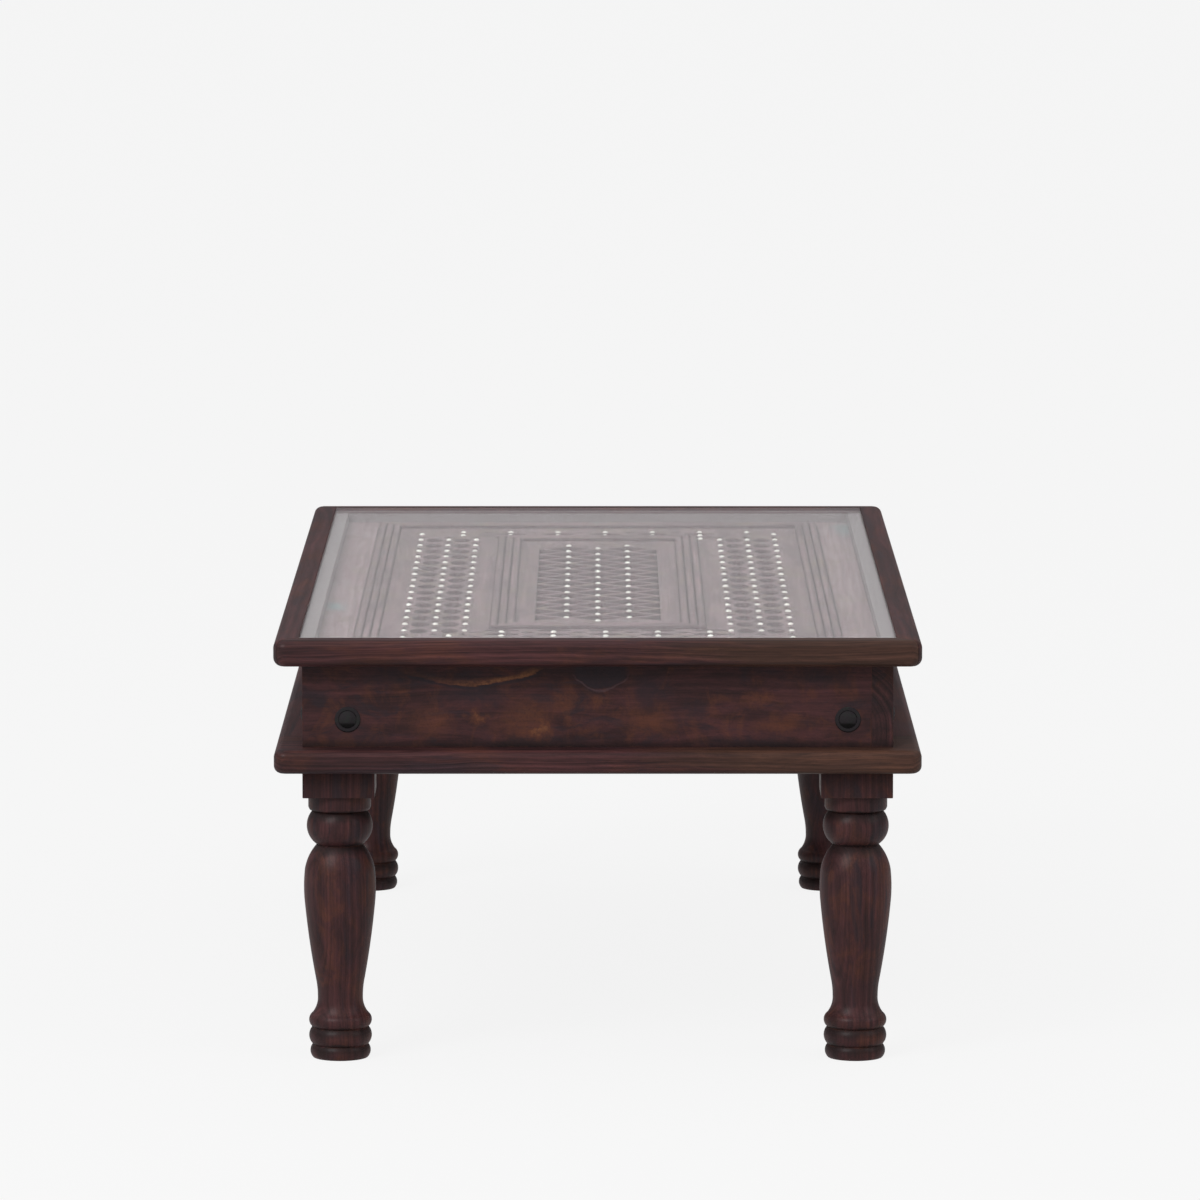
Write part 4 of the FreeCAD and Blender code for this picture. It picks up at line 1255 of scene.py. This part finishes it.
def side_holes():
    """Ovals between the nail columns of the two long strips, and eyes in them."""
    nails = nail_spots("right")
    inner, middle, outer = levels(spot.x for spot in nails)
    spacing = middle - inner
    rows = levels(spot.y for spot in nails if abs(spot.x - middle) < MM)
    pitch = rows[1] - rows[0]
    between = [rows[0] - pitch / 2] + [row + pitch / 2 for row in rows]
    ovals = [(sign * (middle + shift * spacing), y, 0)
             for sign in (-1, 1) for shift in (-0.5, 0.5) for y in rows]
    eyes = [(sign * middle, y, 0) for sign in (-1, 1) for y in between]
    edges = [(x, y, turn) for x, turn in ((inner, 0), (outer, math.pi), (-inner, math.pi),
                                          (-outer, 0)) for y in between]
    return {"side oval": (outline(OVAL_SHARES, spacing, pitch, HOLE_STEPS), ovals),
            "side eye": (outline(EYE_SHARES, spacing, pitch, 1), eyes),
            "edge eye": (outline(EDGE_EYE_SHARES, spacing, pitch, 1), edges)}


def end_holes():
    """The holes of the two end strips, which lie along X."""
    nails = nail_spots("front")
    outer, inner = [-row for row in levels(spot.y for spot in nails)]
    spacing = outer - inner
    columns = levels(spot.x for spot in nails if abs(spot.y + inner) < MM)
    pitch = columns[1] - columns[0]
    quarter = math.pi / 2
    ovals = [(x, sign * (outer - step * spacing), quarter)
             for x in columns for sign in (-1, 1) for step in (0.5, 1.5)]
    eyes = [(x - pitch / 2, sign * (outer - step * spacing), quarter)
            for x in columns for sign in (-1, 1) for step in (0, 1)]
    return {"end oval": (outline(OVAL_SHARES, spacing, pitch, HOLE_STEPS), ovals),
            "end eye": (outline(EYE_SHARES, spacing, pitch, 1), eyes)}


def centre_holes():
    """The diamonds of the centre lattice, halved along its two long edges."""
    nails = nail_spots("centre")
    cell_x = max(spot.x for spot in nails)
    rows = levels(spot.y for spot in nails if abs(spot.x - cell_x) < MM)
    cell_y = (rows[1] - rows[0]) / 2
    strip = bpy.context.scene.table_sizes.lattice_strip
    kept = 1 - strip / 2 * math.hypot(cell_x, cell_y) / (cell_x * cell_y)
    size = (cell_x * kept, cell_y * kept)
    whole = [(0, y, 0) for y in rows[:-1]]
    whole += [(x, y + cell_y, 0) for x in (-cell_x, cell_x) for y in rows[:-1]]
    halved = [(sign * 2 * cell_x, y, turn) for sign, turn in ((1, 0), (-1, math.pi))
              for y in rows[:-1]]
    return {"diamond": (outline(DIAMOND_SHARES, *size, 1), whole),
            "half diamond": (outline(HALF_DIAMOND_SHARES, *size, 1), halved)}


def outline_object(name, points):
    """A closed flat curve."""
    curve = bpy.data.curves.new(name, "CURVE")
    curve.dimensions = "3D"
    line = curve.splines.new("POLY")
    line.points.add(len(points) - 1)
    line.points.foreach_set("co", [number for x, y in points for number in (x, y, 0, 1)])
    line.use_cyclic_u = True
    return new_object(name, curve)


class LOWTABLE_OT_pierced_panel(bpy.types.Operator):
    """Cuts the ovals, eyes and diamonds of the pierced panel."""
    bl_idname = "low_table.pierced_panel"
    bl_label = "Pierced panel"

    def execute(self, context):
        sizes = context.scene.table_sizes
        low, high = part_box("jali_panel")
        wood = panel_wood("pierced_wood", "jali_panel", "Y", 36, touches=(hole_walls_and_shade,))
        holes = {**side_holes(), **end_holes(), **centre_holes()}
        values = {"Width": high.x - low.x, "Length": high.y - low.y, "Bottom": low.z,
                  "Thickness": high.z - low.z, "Material": wood}
        helpers = []
        for kind, (points, places) in holes.items():
            values[kind + " outline"] = outline_object(kind, points)
            values[kind + " spots"] = spots_object(
                kind + " spots", [(x, y, 0) for x, y, turn in places], "turn",
                [turn for x, y, turn in places])
            helpers += [values[kind + " outline"], values[kind + " spots"]]
        panel = object_from(bmesh.new(), "pierced_panel")
        add_tree(panel, piercing_tree(holes), values)
        ease_edges(panel, sizes.hole_ease)
        drop(*helpers)
        settle(panel, wood, ["jali_panel"])
        return {"FINISHED"}


def nail_profile():
    """A low dome, as wide and high as the nails of the frame."""
    low, high = solids_of("nails_right")[0]
    radius = (high.x - low.x) / 2
    height = high.z - low.z
    turns = [math.pi / 2 * step / NAIL_STEPS for step in range(NAIL_STEPS)]
    dome = [(radius * math.cos(turn), height * math.sin(turn)) for turn in turns]
    return [(0, 0), *dome, (0, height)]


class LOWTABLE_OT_nails(bpy.types.Operator):
    """Drives the pale domed nails into the pierced panel."""
    bl_idname = "low_table.nails"
    bl_label = "Nail heads"

    def execute(self, context):
        finishes = context.scene.table_finishes
        sizes = context.scene.table_sizes
        pale = metal("pale_nail_metal", finishes.nail, finishes.nail_tarnish, amount=0.25,
                     metallic=0.25, roughness=0.3, grain=900.0, depth=0.05 * MM)
        head = object_from(turned(nail_profile(), sizes.nail_sides), "nail_head")
        for index, group in enumerate(("left", "right", "front", "back", "centre")):
            spots = nail_spots(group)
            if group == "right":
                spots.append(Vector((*LONE_NAIL, spots[0].z)))
            piece = stand_copies("nail_heads_" + group, head, spots, [(0, 0, 1)] * len(spots),
                                 pale, sizes.nail_tilt, sizes.nail_spread, sizes.seed + index)
            settle(piece, pale, ["nails_" + group])
        drop(head)
        return {"FINISHED"}


class LOWTABLE_OT_glass(bpy.types.Operator):
    """Makes the loose pane of glass."""
    bl_idname = "low_table.glass"
    bl_label = "Glass pane"

    def execute(self, context):
        sizes = context.scene.table_sizes
        pane = eased_copy("glass_pane", "glass_sheet", sizes.glass_ease)
        low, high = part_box("glass_pane")
        thinner = 1 - sizes.glass_air / (high.z - low.z)
        pane.data.transform(Matrix.Translation((0, 0, high.z)) @ Matrix.Diagonal((1, 1, thinner, 1))
                            @ Matrix.Translation((0, 0, -high.z)))
        settle(pane, glass_material(), ["glass_pane"], "glass")
        return {"FINISHED"}


class LOWTABLE_OT_inside(bpy.types.Operator):
    """Makes the cleats, corner blocks and backing board, and plates the leg bolts."""
    bl_idname = "low_table.inside"
    bl_label = "Inner pieces"

    def execute(self, context):
        finishes = context.scene.table_finishes
        lay_frame("plain_timber", "cleat", "inner_cleat", "cleat_timber", 41, timber)
        lay_boards([
            ("corner_block_" + corner, "bolt_block_" + corner,
             timber("block_timber_" + corner, "corner_block_" + corner, "X", 46 + index))
            for index, corner in enumerate(CORNERS)])
        lay_boards([("backing_board", "stained_backing", timber(
            "backing_ply", "backing_board", "Y", 51, stained=True))])
        zinc = metal("zinc_plate", finishes.zinc, finishes.zinc_bloom, amount=0.6, metallic=0.9,
                     roughness=0.34, grain=900.0, depth=0.05 * MM)
        for node in ("leg_bolts", "leg_washers", "leg_nuts"):
            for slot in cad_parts[node].material_slots:
                slot.material = zinc
        return {"FINISHED"}


def seen_rays(wires):
    """A mask of the rays that see a thing, straight or through glass, and one that also has
    the mirrored ones."""
    rays = wires.node("ShaderNodeLightPath").outputs
    direct = wires.most(rays["Is Camera Ray"], rays["Is Transmission Ray"])
    return direct, wires.most(direct, rays["Is Glossy Ray"])


def lit_floor(stage):
    """The floor's material: its colour shows without light, and its shadow stays."""
    material, wires, _, surface = new_material("pale_floor")
    material.cycles.emission_sampling = "NONE"
    _, seen = seen_rays(wires)
    glow = wires.first("ShaderNodeEmission", {"Color": stage.floor})
    plain = wires.first("ShaderNodeBsdfDiffuse", {
        "Color": wires.mix(seen, stage.bounce, stage.floor)})
    lit = wires.first("ShaderNodeMixShader", {
        0: wires.times(seen, stage.glow), 1: plain, 2: glow})
    through = wires.first("ShaderNodeBsdfTransparent")
    under = wires.node("ShaderNodeNewGeometry").outputs["Backfacing"]
    wires.feed(surface, wires.first("ShaderNodeMixShader", {0: under, 1: lit, 2: through}))
    return material


def light_world(stage):
    """An even dome of light: pale like the floor where it is seen, duller where it is mirrored."""
    world = bpy.data.worlds.new("studio")
    world.use_nodes = True
    world.node_tree.nodes.clear()
    wires = Wiring(world.node_tree)
    direct, seen = seen_rays(wires)
    dome = wires.first("ShaderNodeBackground", {"Color": (1, 1, 1, 1), "Strength": stage.dome})
    way = wires.node("ShaderNodeTexCoord").outputs["Generated"]
    mirrored = wires.mix(wires.ease(axes_of(wires, way)["Z"], 0.2, 0.9),
                         stage.backdrop, stage.ceiling)
    backdrop = wires.first("ShaderNodeBackground", {
        "Color": wires.mix(direct, mirrored, stage.floor), "Strength": 1.0})
    both = wires.first("ShaderNodeMixShader", {0: seen, 1: dome, 2: backdrop})
    wires.feed(wires.node("ShaderNodeOutputWorld").inputs["Surface"], both)
    bpy.context.scene.world = world


def area_lamp(name, spot, power):
    """A square lamp at a spot, turned to the table."""
    lamp = bpy.data.lights.new(name, "AREA")
    lamp.shape = "SQUARE"
    lamp.size = LAMP_SIDE
    lamp.energy = power
    thing = new_object(name, lamp)
    thing.location = spot
    thing.rotation_euler = (LAMP_AIM - Vector(spot)).to_track_quat("-Z", "Y").to_euler()


class LOWTABLE_OT_stage(bpy.types.Operator):
    """Lays the floor, hangs the lamps and sets up the camera."""
    bl_idname = "low_table.stage"
    bl_label = "Stage"

    def execute(self, context):
        scene = context.scene
        stage = scene.table_stage
        scene.view_settings.view_transform = "Standard"
        shape = bmesh.new()
        bmesh.ops.create_circle(shape, cap_ends=True, segments=64, radius=FLOOR_RADIUS)
        floor = object_from(shape, "floor")
        floor.data.materials.append(lit_floor(stage))
        light_world(stage)
        area_lamp("key_lamp", KEY_SPOT, stage.key_power)
        area_lamp("fill_lamp", FILL_SPOT, stage.fill_power)

        eye = bpy.data.cameras.new("eye")
        eye.lens = eye.sensor_width * stage.focal_pixels / stage.image_side
        eye.clip_end = EYE_REACH
        scene.camera = new_object("eye", eye)
        scene.camera.location = (stage.eye_shift, -stage.eye_distance, stage.eye_height)
        scene.camera.rotation_euler = (math.pi / 2 - stage.eye_dip, 0, 0)
        return {"FINISHED"}


STEPS = ("groups", "lower_rim", "aprons", "top_frame", "legs", "studs", "border", "mouldings",
         "pierced_panel", "nails", "glass", "inside", "stage")


class LOWTABLE_PT_panel(bpy.types.Panel):
    """The table's steps and settings in the sidebar."""
    bl_idname = "LOWTABLE_PT_panel"
    bl_label = "Low table"
    bl_space_type = "VIEW_3D"
    bl_region_type = "UI"
    bl_category = "Low table"

    def draw(self, context):
        for step in STEPS:
            self.layout.operator("low_table." + step)
        for group in SETTINGS:
            settings = getattr(context.scene, group)
            box = self.layout.box()
            for name in settings.__annotations__:
                box.prop(settings, name)


SETTINGS = {"table_sizes": LOWTABLE_sizes, "table_finishes": LOWTABLE_finishes,
            "table_stage": LOWTABLE_stage}
CLASSES = (
    *SETTINGS.values(),
    LOWTABLE_OT_groups,
    LOWTABLE_OT_lower_rim,
    LOWTABLE_OT_aprons,
    LOWTABLE_OT_top_frame,
    LOWTABLE_OT_legs,
    LOWTABLE_OT_studs,
    LOWTABLE_OT_border,
    LOWTABLE_OT_mouldings,
    LOWTABLE_OT_pierced_panel,
    LOWTABLE_OT_nails,
    LOWTABLE_OT_glass,
    LOWTABLE_OT_inside,
    LOWTABLE_OT_stage,
    LOWTABLE_PT_panel,
)


def register():
    for one in CLASSES:
        bpy.utils.register_class(one)
    for name, group in SETTINGS.items():
        setattr(bpy.types.Scene, name, PointerProperty(type=group))


def unregister():
    for name in SETTINGS:
        delattr(bpy.types.Scene, name)
    for one in reversed(CLASSES):
        bpy.utils.unregister_class(one)


def main():
    register()
    for step in STEPS:
        getattr(bpy.ops.low_table, step)()


if __name__ == "__main__":
    main()
